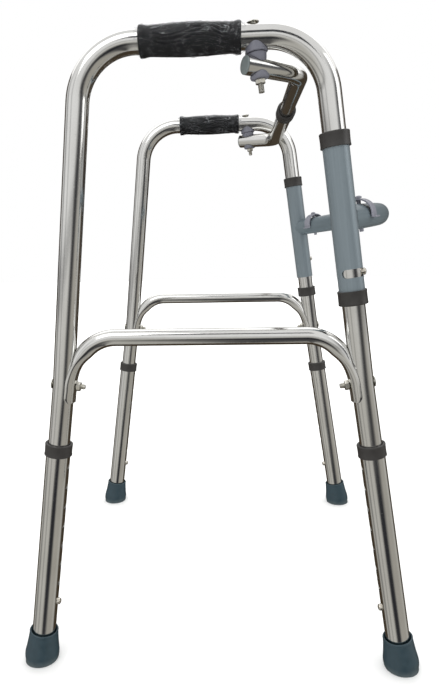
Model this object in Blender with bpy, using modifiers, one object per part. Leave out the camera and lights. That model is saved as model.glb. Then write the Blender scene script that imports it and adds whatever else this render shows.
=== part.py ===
# Folding walker: two side frames that swing in on the sleeves of a bowed front crossbar, telescoping
# lower legs with height holes, and a telescoping top bar that swivels on a saddle under each hand rail.
#
# Lengths are metres. +X is forward, +Y is the user's left, +Z is up. The origin is on the floor between
# the four feet.

import math

import bmesh
import bpy
from mathutils import Matrix, Vector

# Clearances
seat_gap = 0.0003
slide_gap = 0.0004

# Side frames: one bent tube each, in a vertical plane
frame_plane_y = 0.231
frame_radius = 0.0127
frame_wall = 0.0012
rail_height = 0.728
rail_front_x = 0.120
rail_rear_reach = 0.135
frame_corner_radius = 0.065
kink_height = 0.357
kink_front_x = 0.169
kink_rear_reach = 0.175
foot_front_x = 0.225
foot_rear_reach = 0.225
inner_leg_start = 0.051

# Lower legs, measured up the leg from the floor
leg_radius = 0.0143
leg_wall = 0.0012
leg_top = 0.2860
hole_radius = 0.0042
hole_pitch = 0.0254
hole_count = 8
first_hole = 0.082

# Rubber feet
foot_floor_thickness = 0.008
foot_height = 0.0410
foot_sole_radius = 0.0198
foot_belly_radius = 0.0211
foot_rim_radius = 0.0176

# Collars on tube ends
collar_wall = 0.0017
collar_lip = 0.0025
collar_chamfer = 0.0008
leg_collar_length = 0.0145
sleeve_collar_length = 0.0160
slipped_collar_rise = 0.0731

# Hinge sleeves, measured down the front leg from the rail's centreline; the slot is measured up from
# the sleeve's lower end, and the slipped collar up from the kink
sleeve_drop = 0.1015
sleeve_length = 0.1798
sleeve_wall = 0.0012
slot_rise = 0.0323
slot_height = 0.0095
slot_start_angle = math.radians(-10.0)
slot_end_angle = math.radians(137.0)
sleeve_button_angle = math.radians(8.0)

# Snap clips: a bent spring strip with a domed button
button_radius = 0.0039
leg_button_reach = 0.0185
sleeve_button_reach = 0.0175
button_dome = 0.0022
clip_strip = 0.0007
clip_width = 0.007
clip_arm_x = 0.0100
clip_back_reach = 0.0075
clip_apex_height = 0.038
clip_tail = 0.007

# Front crossbar
crossbar_radius = 0.0140
crossbar_wall = 0.0015
crossbar_drop = 0.1896
crossbar_bow = 0.0807
crossbar_steps = 10

# Release pads over the crossbar
pad_y = 0.196
pad_width = 0.014
pad_strip = 0.0018
pad_side_gap = 0.0012
pad_rise = 0.0029
pad_lip = 0.0036
pad_drop = 0.0035
pad_pin_radius = 0.0025
pad_head_radius = 0.004
pad_head_height = 0.003
pad_pin_end = 0.0035

# Side braces
brace_radius = 0.0098
brace_wall = 0.0009
brace_rise = 0.055
brace_bend_radius = 0.048
brace_tail = 0.019
crescent_inner_radius = 0.0130
crescent_outer_radius = 0.0152
crescent_half_angle = math.radians(70.0)
crescent_blend = 0.0102

# Bolts and nuts
bolt_radius = 0.003
bolt_head_radius = 0.006
bolt_head_height = 0.0018
bolt_hole_radius = 0.0034
nut_radius = 0.00577
nut_height = 0.0045
brace_bolt_end = 0.0255

# Hand grips, along the rail
grip_rear_reach = 0.0715
grip_length = 0.107
grip_end_radius = 0.0163
grip_waist_radius = 0.0151
grip_belly_radius = 0.0170
grip_flange = 0.006
grip_edge = 0.001

# Top bar and its saddles; drops are measured from the rail's centre along the saddle bolt
saddle_x = 0.0495
bar_drop = 0.0305
swivel_drop = 0.0160
left_swivel_gap = 0.0003
right_swivel_gap = 0.0005
saddle_top_radius = 0.0114
saddle_rim_radius = 0.0120
saddle_rim_height = 0.0020
saddle_rim_slope = 0.0006
saddle_low_radius = 0.0102
saddle_foot_radius = 0.0095
saddle_reach = 0.0045
saddle_foot_thickness = 0.0022
saddle_bolt_end = 0.0560
saddle_head_radius = 0.0065
outer_bar_radius = 0.0111
inner_bar_radius = 0.009525
bar_wall = 0.0012
bar_mid_x = 0.0995
bar_mid_drop = 0.033
bar_arm_angle = math.radians(27.9)
bar_bend_radius = 0.028
bar_tail = 0.0155
outer_bar_mouth_reach = 0.030
inner_bar_end_y = 0.052
bar_collar_length = 0.028
end_cap_thickness = 0.0018
end_cap_plug = 0.008
guide_plug_length = 0.020

# Facets
tube_sides = 16
fine_sides = 16
bolt_sides = 8
hole_sides = 8
corner_steps = 5
brace_bend_steps = 4

sides = {"right": -1.0, "left": 1.0}
ends = {
    "front": (rail_front_x, kink_front_x, foot_front_x),
    "rear": (-rail_rear_reach, -kink_rear_reach, -foot_rear_reach),
}
up = Vector((0.0, 0.0, 1.0))
forward = Vector((1.0, 0.0, 0.0))
leftward = Vector((0.0, 1.0, 0.0))

# Colours as linear red, green, blue, then roughness and metallic
finishes = {
    "polished_aluminium": ((0.72, 0.71, 0.70), 0.22, 1.0),
    "painted_sleeve": ((0.22, 0.25, 0.28), 0.42, 0.3),
    "painted_crossbar": ((0.14, 0.17, 0.18), 0.50, 0.2),
    "black_plastic": ((0.035, 0.035, 0.036), 0.55, 0.0),
    "grey_plastic": ((0.16, 0.16, 0.20), 0.50, 0.0),
    "cap_plastic": ((0.14, 0.16, 0.16), 0.50, 0.0),
    "pad_plastic": ((0.26, 0.27, 0.31), 0.45, 0.0),
    "rubber": ((0.03, 0.055, 0.07), 0.75, 0.0),
    "grip_foam": ((0.03, 0.03, 0.035), 0.70, 0.0),
    "zinc_steel": ((0.62, 0.60, 0.56), 0.35, 1.0),
    "spring_steel": ((0.55, 0.55, 0.55), 0.30, 1.0),
}


# Scene, collections and frames

for old_object in list(bpy.data.objects):
    bpy.data.objects.remove(old_object, do_unlink=True)

walker = bpy.data.collections.new("walker")
cutters = bpy.data.collections.new("cutters")
bpy.context.scene.collection.children.link(walker)
bpy.context.scene.collection.children.link(cutters)
axis_frames = {}


def axis_matrix(origin, z_axis, x_hint):
    # A frame at origin whose Z is z_axis and whose X is as near x_hint as it can be
    z_axis = z_axis.normalized()
    x_axis = (x_hint - z_axis * x_hint.dot(z_axis)).normalized()
    y_axis = z_axis.cross(x_axis)
    matrix = Matrix((x_axis, y_axis, z_axis)).transposed().to_4x4()
    matrix.translation = origin
    return matrix


def add_axis(name, matrix, parent=None):
    # An empty that stands on a joint's axis and carries the pieces that move on it
    empty = bpy.data.objects.new(name, None)
    empty.empty_display_size = 0.03
    walker.objects.link(empty)
    empty.parent = parent
    empty.matrix_basis = matrix if parent is None else axis_frames[parent.name].inverted() @ matrix
    axis_frames[name] = matrix
    return empty


def place_object(item, axis, place):
    item.parent = axis
    item.matrix_basis = axis_frames[axis.name].inverted() @ place


def add_piece(name, mesh, axis, finish, place=None):
    # A piece whose mesh is drawn in the frame place, or in its axis's own frame
    piece = bpy.data.objects.new(name, mesh)
    walker.objects.link(piece)
    place_object(piece, axis, axis_frames[axis.name] if place is None else place)
    colour, roughness, metallic = finishes[finish]
    material = bpy.data.materials.new(name + "_" + finish)
    material.use_nodes = True
    shader = material.node_tree.nodes["Principled BSDF"]
    shader.inputs["Base Color"].default_value = (*colour, 1.0)
    shader.inputs["Roughness"].default_value = roughness
    shader.inputs["Metallic"].default_value = metallic
    mesh.materials.append(material)
    mesh.shade_smooth()
    mesh.set_sharp_from_angle(angle=math.radians(35.0))
    return piece


def add_cutter(name, mesh, axis, place=None):
    cutter = bpy.data.objects.new(name, mesh)
    cutters.objects.link(cutter)
    place_object(cutter, axis, axis_frames[axis.name] if place is None else place)
    cutter.hide_render = True
    cutter.display_type = "WIRE"
    return cutter


def combine(piece, cutter, operation="DIFFERENCE"):
    boolean = piece.modifiers.new(cutter.name, "BOOLEAN")
    boolean.operation = operation
    boolean.solver = "EXACT"
    boolean.object = cutter


# Mesh makers

def mesh_from(name, build):
    mesh = bpy.data.meshes.new(name)
    shape = bmesh.new()
    build(shape)
    shape.to_mesh(mesh)
    shape.free()
    return mesh


def baked_mesh(source):
    # The evaluated mesh of an object, with its seams welded and its faces turned outward
    walker.objects.link(source)
    bpy.context.view_layer.update()
    graph = bpy.context.evaluated_depsgraph_get()
    mesh = bpy.data.meshes.new_from_object(source.evaluated_get(graph))
    bpy.data.objects.remove(source, do_unlink=True)
    shape = bmesh.new()
    shape.from_mesh(mesh)
    bmesh.ops.remove_doubles(shape, verts=shape.verts, dist=0.000005)
    bmesh.ops.recalc_face_normals(shape, faces=shape.faces)
    shape.to_mesh(mesh)
    shape.free()
    return mesh


def turned_mesh(name, profile, steps, ring=True):
    # A profile of (radius, height) points turned round Z; a ring's profile is a closed loop
    mesh = bpy.data.meshes.new(name)
    points = [(radius, 0.0, height) for radius, height in profile]
    edges = [(index, index + 1) for index in range(len(points) - 1)]
    if ring:
        edges.append((len(points) - 1, 0))
    mesh.from_pydata(points, edges, [])
    source = bpy.data.objects.new(name, mesh)
    screw = source.modifiers.new("turn", "SCREW")
    screw.steps = steps
    screw.render_steps = steps
    screw.use_merge_vertices = True
    screw.merge_threshold = 0.00001
    return baked_mesh(source)


def ring_mesh(name, inner, outer, low, high, steps):
    profile = [(outer, high), (outer, low), (inner, low), (inner, high)]
    return turned_mesh(name, profile, steps)


def swept_mesh(name, points, radius, steps, capped=False):
    # A tube's skin along a polyline, open at its ends unless it is capped
    curve = bpy.data.curves.new(name, "CURVE")
    curve.dimensions = "3D"
    curve.bevel_depth = radius
    curve.bevel_resolution = (steps - 4) // 2
    curve.use_fill_caps = capped
    spline = curve.splines.new("POLY")
    spline.points.add(len(points) - 1)
    for spline_point, point in zip(spline.points, points):
        spline_point.co = (*point, 1.0)
    return baked_mesh(bpy.data.objects.new(name, curve))


def outline_mesh(name, points, thickness):
    # A flat outline in XY with half its thickness on each side
    curve = bpy.data.curves.new(name, "CURVE")
    curve.dimensions = "2D"
    curve.fill_mode = "BOTH"
    curve.extrude = thickness / 2
    spline = curve.splines.new("POLY")
    spline.points.add(len(points) - 1)
    for spline_point, point in zip(spline.points, points):
        spline_point.co = (point[0], point[1], 0.0, 1.0)
    spline.use_cyclic_u = True
    return baked_mesh(bpy.data.objects.new(name, curve))


def rods_mesh(name, rods, steps):
    # Straight round rods, each given by its two ends and its radius
    def build(shape):
        for start, end, radius in rods:
            along = end - start
            hint = leftward if abs(along.normalized().dot(leftward)) < 0.9 else up
            place = axis_matrix((start + end) / 2, along, hint)
            bmesh.ops.create_cone(
                shape, cap_ends=True, segments=steps, radius1=radius, radius2=radius,
                depth=along.length, matrix=place)
    return mesh_from(name, build)


def hollow(piece, wall):
    shell = piece.modifiers.new("wall", "SOLIDIFY")
    shell.thickness = wall
    shell.offset = -1.0
    shell.use_even_offset = True


def drill(piece, name, rods, axis, steps=hole_sides):
    # Cuts round holes given in world coordinates
    combine(piece, add_cutter(name, rods_mesh(name, rods, steps), axis, Matrix.Identity(4)))


def rounded_path(corners, radii, steps):
    # A polyline through corners, with an arc of the given radius at each inner corner
    points = [corners[0]]
    for before, corner, after, radius in zip(corners, corners[1:], corners[2:], radii):
        if radius == 0.0:
            points.append(corner)
            continue
        into = (corner - before).normalized()
        out = (after - corner).normalized()
        turn = into.angle(out)
        centre = corner + (out - into).normalized() * radius / math.cos(turn / 2)
        start = corner - into * radius * math.tan(turn / 2) - centre
        axis = into.cross(out).normalized()
        for step in range(steps + 1):
            points.append(centre + Matrix.Rotation(turn * step / steps, 3, axis) @ start)
    points.append(corners[-1])
    return points


def strip_outline(path, thickness):
    # The outline of a strip of even thickness along a path in XY
    left_edge = []
    right_edge = []
    for index, point in enumerate(path):
        before = path[max(index - 1, 0)]
        after = path[min(index + 1, len(path) - 1)]
        into = (point - before).normalized() if index else (after - point).normalized()
        out = (after - point).normalized() if index < len(path) - 1 else into
        bisector = (into + out).normalized()
        normal = Vector((-bisector.y, bisector.x, 0.0))
        reach = thickness / 2 / max(bisector.dot(into), 0.5)
        left_edge.append(point + normal * reach)
        right_edge.append(point - normal * reach)
    return left_edge + right_edge[::-1]


def standing(mesh):
    # Turns a mesh drawn in XY so that its Y points up Z
    mesh.transform(Matrix.Rotation(math.pi / 2, 4, "X"))
    return mesh


# Leg lines and joint axes

def leg_points(side, end):
    rail_x, kink_x, foot_x = ends[end]
    y = sides[side] * frame_plane_y
    corner = Vector((rail_x, y, rail_height))
    kink = Vector((kink_x, y, kink_height))
    foot = Vector((foot_x, y, 0.0))
    return corner, kink, foot


def inward(end):
    # The fore-and-aft direction from a leg to the other leg of its frame
    return -forward if end == "front" else forward


fold_corner, fold_kink, _ = leg_points("left", "front")
fold_direction = (fold_corner - fold_kink).normalized()
fold_forward = (forward - fold_direction * forward.dot(fold_direction)).normalized()
sleeve_radius = frame_radius + slide_gap + sleeve_wall
slot_drop = sleeve_drop + sleeve_length - slot_rise
slipped_collar_drop = (fold_corner - fold_kink).length - slipped_collar_rise

base_axis = add_axis("crossbar_base", Matrix.Identity(4))
fold_axes = {}
leg_axes = {}
for side, sign in sides.items():
    corner, kink, foot = leg_points(side, "front")
    fold_axes[side] = add_axis(side + "_fold_axis", axis_matrix(corner, fold_direction, forward), base_axis)
    for end in ends:
        corner, kink, foot = leg_points(side, end)
        leg_name = side + "_" + end
        leg_axes[leg_name] = add_axis(
            leg_name + "_leg_axis", axis_matrix(foot, kink - foot, inward(end)), fold_axes[side])


def on_fold_axis(side, drop):
    corner, _, _ = leg_points(side, "front")
    return corner - fold_direction * drop


def saddle_point(side, drop):
    # A point on the saddle bolt's axis
    rail_point = Vector((saddle_x, sides[side] * frame_plane_y, rail_height))
    return rail_point - fold_direction * drop


# Side frames, braces and grips

def leg_hole(leg_name, reach):
    frame = axis_frames[leg_axes[leg_name].name]
    centre = frame @ Vector((0.0, 0.0, first_hole))
    radial = frame.to_3x3() @ forward
    return (centre + radial * frame_radius * 0.4, centre + radial * reach, hole_radius)


def brace_bolt_line(side, end):
    # Centre on the leg's axis and direction from the leg to the other leg
    corner, kink, foot = leg_points(side, end)
    leg_direction = ((corner - kink).normalized() + (kink - foot).normalized()).normalized()
    direction = inward(end)
    direction = (direction - leg_direction * direction.dot(leg_direction)).normalized()
    return kink, direction


def sleeve_button_direction(side):
    frame = axis_frames[fold_axes[side].name].to_3x3()
    angle = sides[side] * sleeve_button_angle
    return frame @ Vector((math.cos(angle), math.sin(angle), 0.0))


def frame_path(side):
    front_corner, front_kink, front_foot = leg_points(side, "front")
    rear_corner, rear_kink, rear_foot = leg_points(side, "rear")
    front_start = front_foot + (front_kink - front_foot).normalized() * inner_leg_start
    rear_start = rear_foot + (rear_kink - rear_foot).normalized() * inner_leg_start
    corners = [front_start, front_kink, front_corner, rear_corner, rear_kink, rear_start]
    radii = [0.0, frame_corner_radius, frame_corner_radius, 0.0]
    return rounded_path(corners, radii, corner_steps)


def make_side_frame(side):
    skin = swept_mesh(side + "_side_frame", frame_path(side), frame_radius, tube_sides)
    frame = add_piece(side + "_side_frame", skin, fold_axes[side], "polished_aluminium", Matrix.Identity(4))
    hollow(frame, frame_wall)
    rods = [
        leg_hole(side + "_front", frame_radius * 1.5),
        leg_hole(side + "_rear", frame_radius * 1.5),
    ]
    for end in ends:
        centre, direction = brace_bolt_line(side, end)
        reach = direction * frame_radius * 1.5
        rods.append((centre - reach, centre + reach, bolt_hole_radius))
    button_centre = on_fold_axis(side, slot_drop)
    button_way = sleeve_button_direction(side)
    rods.append((
        button_centre + button_way * frame_radius * 0.4,
        button_centre + button_way * frame_radius * 1.5,
        hole_radius))
    bolt_reach = frame_radius * 1.5
    rods.append((saddle_point(side, -bolt_reach), saddle_point(side, bolt_reach), bolt_hole_radius))
    drill(frame, side + "_frame_holes", rods, fold_axes[side])


def section_ring(point, tangent, axis_point, axis_direction, round_radius, inner, outer, half_angle):
    # One section of a brace: round where it is free, a crescent round the leg where it lies on it
    normal = Vector((-tangent.z, 0.0, tangent.x))
    foot_point = axis_point + axis_direction * (point - axis_point).dot(axis_direction)
    outward = point - foot_point
    distance = outward.length
    outward = outward.normalized()
    middle = (crescent_inner_radius + crescent_outer_radius) / 2
    blend = min(max((middle + crescent_blend - distance) / crescent_blend, 0.0), 1.0)
    ring = []
    half_count = tube_sides // 2
    for index in range(tube_sides):
        angle = math.tau * (index + 0.5) / tube_sides - math.pi / 2
        round_point = point + round_radius * (math.cos(angle) * normal + math.sin(angle) * leftward)
        share = 2.0 * (index % half_count) / (half_count - 1) - 1.0
        if index < half_count:
            radius = outer
        else:
            radius = inner
            share = -share
        turn = share * half_angle
        crescent_point = foot_point + radius * (math.cos(turn) * outward + math.sin(turn) * leftward)
        ring_point = round_point.lerp(crescent_point, blend)
        on_axis = axis_point + axis_direction * (ring_point - axis_point).dot(axis_direction)
        radial = ring_point - on_axis
        if radial.length < inner:
            ring_point = on_axis + radial.normalized() * inner
        ring.append(ring_point)
    return ring


def brace_rings(side, inset):
    # The sections along a brace, for its outer skin or, with inset as the wall, its inner skin
    corners = []
    offset = (crescent_inner_radius + crescent_outer_radius) / 2
    for end in ends:
        corner, kink, foot = leg_points(side, end)
        lower = (kink - foot).normalized()
        upper = (corner - kink).normalized()
        _, away = brace_bolt_line(side, end)
        upper_away = (away - upper * away.dot(upper)).normalized()
        lower_away = (away - lower * away.dot(lower)).normalized()
        tail_point = kink - lower * brace_tail + lower_away * offset
        kink_point = kink + away * offset
        base = kink + upper_away * offset
        top_point = base + upper * ((kink_height + brace_rise - base.z) / upper.z)
        part = [tail_point, kink_point, top_point]
        corners += part if end == "front" else part[::-1]
    radii = [0.0, brace_bend_radius, brace_bend_radius, 0.0]
    path = rounded_path(corners, radii, brace_bend_steps)
    rings = []
    for index, point in enumerate(path):
        before = path[max(index - 1, 0)]
        after = path[min(index + 1, len(path) - 1)]
        tangent = (after - before).normalized()
        end = "front" if point.x > 0.0 else "rear"
        corner, kink, foot = leg_points(side, end)
        axis_direction = (corner - kink) if point.z >= kink_height - brace_tail / 2 else (kink - foot)
        rings.append(section_ring(
            point, tangent, kink, axis_direction.normalized(), brace_radius - inset,
            crescent_inner_radius + inset, crescent_outer_radius - inset,
            crescent_half_angle - inset / offset))
    return rings


def make_brace(side):
    skins = [brace_rings(side, 0.0), brace_rings(side, brace_wall)]

    def build(shape):
        loops = [[[shape.verts.new(point) for point in ring] for ring in skin] for skin in skins]

        def join(first, second):
            for index in range(len(first)):
                following = (index + 1) % len(first)
                shape.faces.new((first[index], first[following], second[following], second[index]))

        for skin in loops:
            for ring, next_ring in zip(skin, skin[1:]):
                join(ring, next_ring)
        join(loops[0][0], loops[1][0])
        join(loops[0][-1], loops[1][-1])
        bmesh.ops.recalc_face_normals(shape, faces=shape.faces)

    brace = add_piece(
        side + "_brace", mesh_from(side + "_brace", build), fold_axes[side], "polished_aluminium",
        Matrix.Identity(4))
    rods = []
    for end in ends:
        centre, direction = brace_bolt_line(side, end)
        rods.append((
            centre + direction * frame_radius * 0.8, centre + direction * frame_radius * 1.6, bolt_hole_radius))
    drill(brace, side + "_brace_holes", rods, fold_axes[side])


def bolt_profile(head_radius, head_height, length):
    # A low domed head whose underside is at zero, on a plain shank that runs down
    return [
        (0.0, head_height),
        (head_radius * 0.6, head_height * 0.85),
        (head_radius, head_height * 0.35),
        (head_radius, 0.0),
        (bolt_radius, 0.0),
        (bolt_radius, -length + bolt_radius * 0.25),
        (bolt_radius * 0.75, -length),
        (0.0, -length),
    ]


def add_nut(name, axis, place):
    # A hexagon nut whose top face is at the place's origin and which runs down
    def build(shape):
        bmesh.ops.create_cone(
            shape, cap_ends=True, segments=6, radius1=nut_radius, radius2=nut_radius, depth=nut_height,
            matrix=Matrix.Translation((0.0, 0.0, -nut_height / 2)))
    nut = add_piece(name, mesh_from(name, build), axis, "zinc_steel", place)
    bore = (place @ Vector((0.0, 0.0, nut_height)), place @ Vector((0.0, 0.0, -2 * nut_height)),
            bolt_radius + seat_gap)
    drill(nut, name + "_bore", [bore], axis)


def make_brace_fasteners(side, end):
    name = side + "_" + end
    centre, direction = brace_bolt_line(side, end)
    seat = frame_radius + seat_gap
    place = axis_matrix(centre - direction * seat, -direction, leftward)
    bolt = turned_mesh(
        name + "_brace_bolt", bolt_profile(bolt_head_radius, bolt_head_height, seat + brace_bolt_end),
        bolt_sides, ring=False)
    add_piece(name + "_brace_bolt", bolt, fold_axes[side], "zinc_steel", place)
    nut_seat = centre + direction * (crescent_outer_radius + seat_gap)
    add_nut(name + "_brace_nut", fold_axes[side], axis_matrix(nut_seat, -direction, leftward))


def make_grip(side):
    half = grip_length / 2
    bore = frame_radius + seat_gap
    outer = [(grip_end_radius - grip_edge, half)]
    outer.append((grip_end_radius, half - grip_edge))
    outer.append((grip_end_radius, half - grip_flange * 0.6))
    outer.append((grip_waist_radius, half - grip_flange * 1.6))
    belly_half = half - grip_flange * 1.6
    belly_steps = 4
    for step in range(1, belly_steps):
        share = step / belly_steps
        swell = math.sin(math.pi * share) ** 1.3
        radius = grip_waist_radius + (grip_belly_radius - grip_waist_radius) * swell
        outer.append((radius, belly_half * (1.0 - 2.0 * share)))
    outer += [(radius, -height) for radius, height in outer[3::-1]]
    profile = outer + [(bore, -half), (bore, half)]
    y = sides[side] * frame_plane_y
    place = axis_matrix(Vector((half - grip_rear_reach, y, rail_height)), forward, up)
    mesh = turned_mesh(side + "_grip", profile, tube_sides)
    add_piece(side + "_grip", mesh, fold_axes[side], "grip_foam", place)


# Lower legs

def collar_profile(outer_radius, lip_radius, length):
    # A cup over a tube's end; the lip at its top closes in on the thinner tube
    outside = outer_radius + seat_gap + collar_wall
    return [
        (outside - collar_chamfer, length),
        (outside, length - collar_chamfer),
        (outside, 0.0),
        (outer_radius + seat_gap, 0.0),
        (outer_radius + seat_gap, length - collar_lip),
        (lip_radius, length - collar_lip),
        (lip_radius, length),
    ]


def clip_mesh(name):
    # A V of spring strip; its apex is up +Z and its first arm carries the button towards +X
    corners = [
        Vector((clip_arm_x, -clip_tail, 0.0)),
        Vector((clip_arm_x, clip_tail, 0.0)),
        Vector((0.0, clip_apex_height, 0.0)),
        Vector((-clip_back_reach, -clip_tail, 0.0)),
    ]
    path = rounded_path(corners, [clip_tail / 2, clip_strip * 2], 3)
    return standing(outline_mesh(name, strip_outline(path, clip_strip), clip_width))


def add_clip(name, axis, place, reach):
    clip = add_piece(name, clip_mesh(name), axis, "spring_steel", place)
    profile = [
        (0.0, reach),
        (button_radius * 0.55, reach - button_dome * 0.25),
        (button_radius * 0.88, reach - button_dome * 0.6),
        (button_radius, reach - button_dome),
        (button_radius, clip_arm_x - clip_strip * 0.25),
        (0.0, clip_arm_x - clip_strip * 0.25),
    ]
    button = turned_mesh(name + "_button", profile, bolt_sides, ring=False)
    button.transform(Matrix.Rotation(math.pi / 2, 4, "Y"))
    combine(clip, add_cutter(name + "_button", button, axis, place), "UNION")


def make_leg(side, end):
    name = side + "_" + end
    axis = leg_axes[name]
    frame = axis_frames[axis.name]
    bore = leg_radius - leg_wall
    tube_foot = foot_floor_thickness + seat_gap
    tube = add_piece(
        name + "_lower_leg", ring_mesh(name + "_lower_leg", bore, leg_radius, tube_foot, leg_top, tube_sides),
        axis, "polished_aluminium")
    rods = []
    for index in range(hole_count):
        height = first_hole + hole_pitch * index
        rods.append((
            frame @ Vector((leg_radius * 0.6, 0.0, height)), frame @ Vector((leg_radius * 1.4, 0.0, height)),
            hole_radius))
    drill(tube, name + "_height_holes", rods, axis)

    profile = collar_profile(leg_radius, bore, leg_collar_length)
    collar_place = frame @ Matrix.Translation((0.0, 0.0, leg_top + seat_gap + collar_lip - leg_collar_length))
    add_piece(
        name + "_leg_collar", turned_mesh(name + "_leg_collar", profile, tube_sides), axis, "black_plastic",
        collar_place)

    sole_depth = foot_sole_radius * 0.4
    pocket = leg_radius + seat_gap
    profile = [
        (foot_rim_radius, foot_height),
        ((foot_rim_radius + foot_belly_radius) / 2, foot_height * 0.5),
        (foot_belly_radius, foot_height * 0.3),
        (foot_belly_radius, foot_height * 0.14),
        (foot_sole_radius, 0.0),
        (foot_sole_radius, -sole_depth),
        (0.0, -sole_depth),
        (0.0, foot_floor_thickness),
        (pocket, foot_floor_thickness),
        (pocket, foot_height),
    ]
    foot = add_piece(
        name + "_foot", turned_mesh(name + "_foot", profile, tube_sides), axis, "rubber")

    def build(shape):
        size = foot_belly_radius * 4
        place = Matrix.Translation(frame.translation - up * size / 2) @ Matrix.Diagonal((size, size, size, 1.0))
        bmesh.ops.create_cube(shape, size=1.0, matrix=place)

    floor = add_cutter(name + "_floor", mesh_from(name + "_floor", build), axis, Matrix.Identity(4))
    combine(foot, floor)
    clip_place = frame @ Matrix.Translation((0.0, 0.0, first_hole))
    add_clip(name + "_leg_clip", fold_axes[side], clip_place, leg_button_reach)


# Hinge sleeves and front crossbar

def make_sleeve(side):
    sign = sides[side]
    frame = axis_frames[fold_axes[side].name]
    bore = frame_radius + slide_gap
    sleeve = add_piece(
        side + "_sleeve",
        ring_mesh(side + "_sleeve", bore, sleeve_radius, -sleeve_drop - sleeve_length, -sleeve_drop, fine_sides),
        base_axis, "painted_sleeve", frame)
    wedge = [Vector((0.0, 0.0, 0.0))]
    wedge_steps = 8
    for step in range(wedge_steps + 1):
        angle = sign * (slot_start_angle + (slot_end_angle - slot_start_angle) * step / wedge_steps)
        wedge.append(Vector((math.cos(angle), math.sin(angle), 0.0)) * sleeve_radius * 1.3)
    slot_place = frame @ Matrix.Translation((0.0, 0.0, -slot_drop))
    slot = outline_mesh(side + "_slot", wedge, slot_height)
    combine(sleeve, add_cutter(side + "_slot", slot, base_axis, slot_place))

    profile = collar_profile(sleeve_radius, bore, sleeve_collar_length)
    cover = seat_gap + collar_lip
    top_place = frame @ Matrix.Translation((0.0, 0.0, cover - sleeve_drop - sleeve_collar_length))
    name = side + "_sleeve_top_collar"
    add_piece(name, turned_mesh(name, profile, tube_sides), base_axis, "black_plastic", top_place)

    # The left bottom collar has slipped down its leg, so it turns with the side frame
    flip = Matrix.Rotation(math.pi, 4, "X")
    bottom = -sleeve_drop - sleeve_length - cover + sleeve_collar_length
    name = side + "_sleeve_bottom_collar"
    if side == "right":
        bottom_place = frame @ Matrix.Translation((0.0, 0.0, bottom)) @ flip
        add_piece(name, turned_mesh(name, profile, tube_sides), base_axis, "black_plastic", bottom_place)
    else:
        bottom_place = frame @ Matrix.Translation((0.0, 0.0, -slipped_collar_drop)) @ flip
        slipped = collar_profile(sleeve_radius, frame_radius + seat_gap, sleeve_collar_length)
        add_piece(name, turned_mesh(name, slipped, tube_sides), fold_axes[side], "black_plastic", bottom_place)

    clip_place = axis_matrix(on_fold_axis(side, slot_drop), fold_direction, sleeve_button_direction(side))
    add_clip(side + "_sleeve_clip", fold_axes[side], clip_place, sleeve_button_reach)


crossbar_ends = [on_fold_axis("right", crossbar_drop), on_fold_axis("left", crossbar_drop)]
crossbar_bend_radius = (frame_plane_y ** 2 + crossbar_bow ** 2) / (2 * crossbar_bow)
crossbar_centre = (crossbar_ends[0] + crossbar_ends[1]) / 2 + fold_forward * (crossbar_bow - crossbar_bend_radius)


def on_crossbar(angle):
    way = fold_forward * math.cos(angle) + leftward * math.sin(angle)
    return crossbar_centre + way * crossbar_bend_radius, way


def pad_place(side):
    point, way = on_crossbar(sides[side] * math.asin(pad_y / crossbar_bend_radius))
    return axis_matrix(point, fold_direction, way)


def make_crossbar():
    end_angle = math.asin(frame_plane_y / crossbar_bend_radius)
    path = []
    for step in range(crossbar_steps + 1):
        path.append(on_crossbar(end_angle * (2.0 * step / crossbar_steps - 1.0))[0])
    crossbar = add_piece(
        "front_crossbar", swept_mesh("front_crossbar", path, crossbar_radius, tube_sides), base_axis,
        "painted_crossbar", Matrix.Identity(4))
    hollow(crossbar, crossbar_wall)
    saddles = []
    pin_holes = []
    for side in sides:
        reach = fold_direction * crossbar_radius * 2
        centre = on_fold_axis(side, crossbar_drop)
        saddles.append((centre - reach, centre + reach, sleeve_radius + seat_gap))
        place = pad_place(side)
        rise = fold_direction * crossbar_radius * 1.5
        pin_holes.append((place.translation - rise, place.translation + rise, pad_pin_radius + seat_gap))
    drill(crossbar, "crossbar_ends", saddles, base_axis, fine_sides)
    drill(crossbar, "crossbar_pin_holes", pin_holes, base_axis)


def make_release(side):
    axis = add_axis(side + "_release_axis", pad_place(side), base_axis)
    half_span = crossbar_radius + pad_side_gap + pad_strip / 2
    lip_end = half_span + pad_strip / 2 + pad_lip
    lip_height = pad_strip / 2 - pad_drop
    path = [Vector((lip_end, lip_height, 0.0)), Vector((half_span, lip_height, 0.0))]
    arch_steps = 8
    for step in range(arch_steps + 1):
        angle = math.pi * step / arch_steps
        path.append(Vector((math.cos(angle) * half_span, pad_rise + math.sin(angle) * half_span, 0.0)))
    path += [Vector((-half_span, lip_height, 0.0)), Vector((-lip_end, lip_height, 0.0))]
    band = standing(outline_mesh(side + "_release_pad", strip_outline(path, pad_strip), pad_width))
    pad = add_piece(side + "_release_pad", band, axis, "pad_plastic")
    frame = axis_frames[axis.name]
    crown = pad_rise + half_span
    hole = (frame @ Vector((0.0, 0.0, crown - pad_strip * 2)), frame @ Vector((0.0, 0.0, crown + pad_strip * 2)),
            pad_pin_radius + seat_gap)
    drill(pad, side + "_pad_hole", [hole], axis)
    head_foot = crown + pad_strip / 2 + seat_gap
    profile = [
        (0.0, head_foot + pad_head_height),
        (pad_head_radius * 0.65, head_foot + pad_head_height * 0.9),
        (pad_head_radius, head_foot + pad_head_height * 0.5),
        (pad_head_radius, head_foot),
        (pad_pin_radius, head_foot),
        (pad_pin_radius, -crossbar_radius - pad_pin_end + pad_pin_radius * 0.3),
        (pad_pin_radius * 0.7, -crossbar_radius - pad_pin_end),
        (0.0, -crossbar_radius - pad_pin_end),
    ]
    pin = turned_mesh(side + "_release_pin", profile, bolt_sides, ring=False)
    add_piece(side + "_release_pin", pin, axis, "spring_steel")


# Top bar

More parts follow.
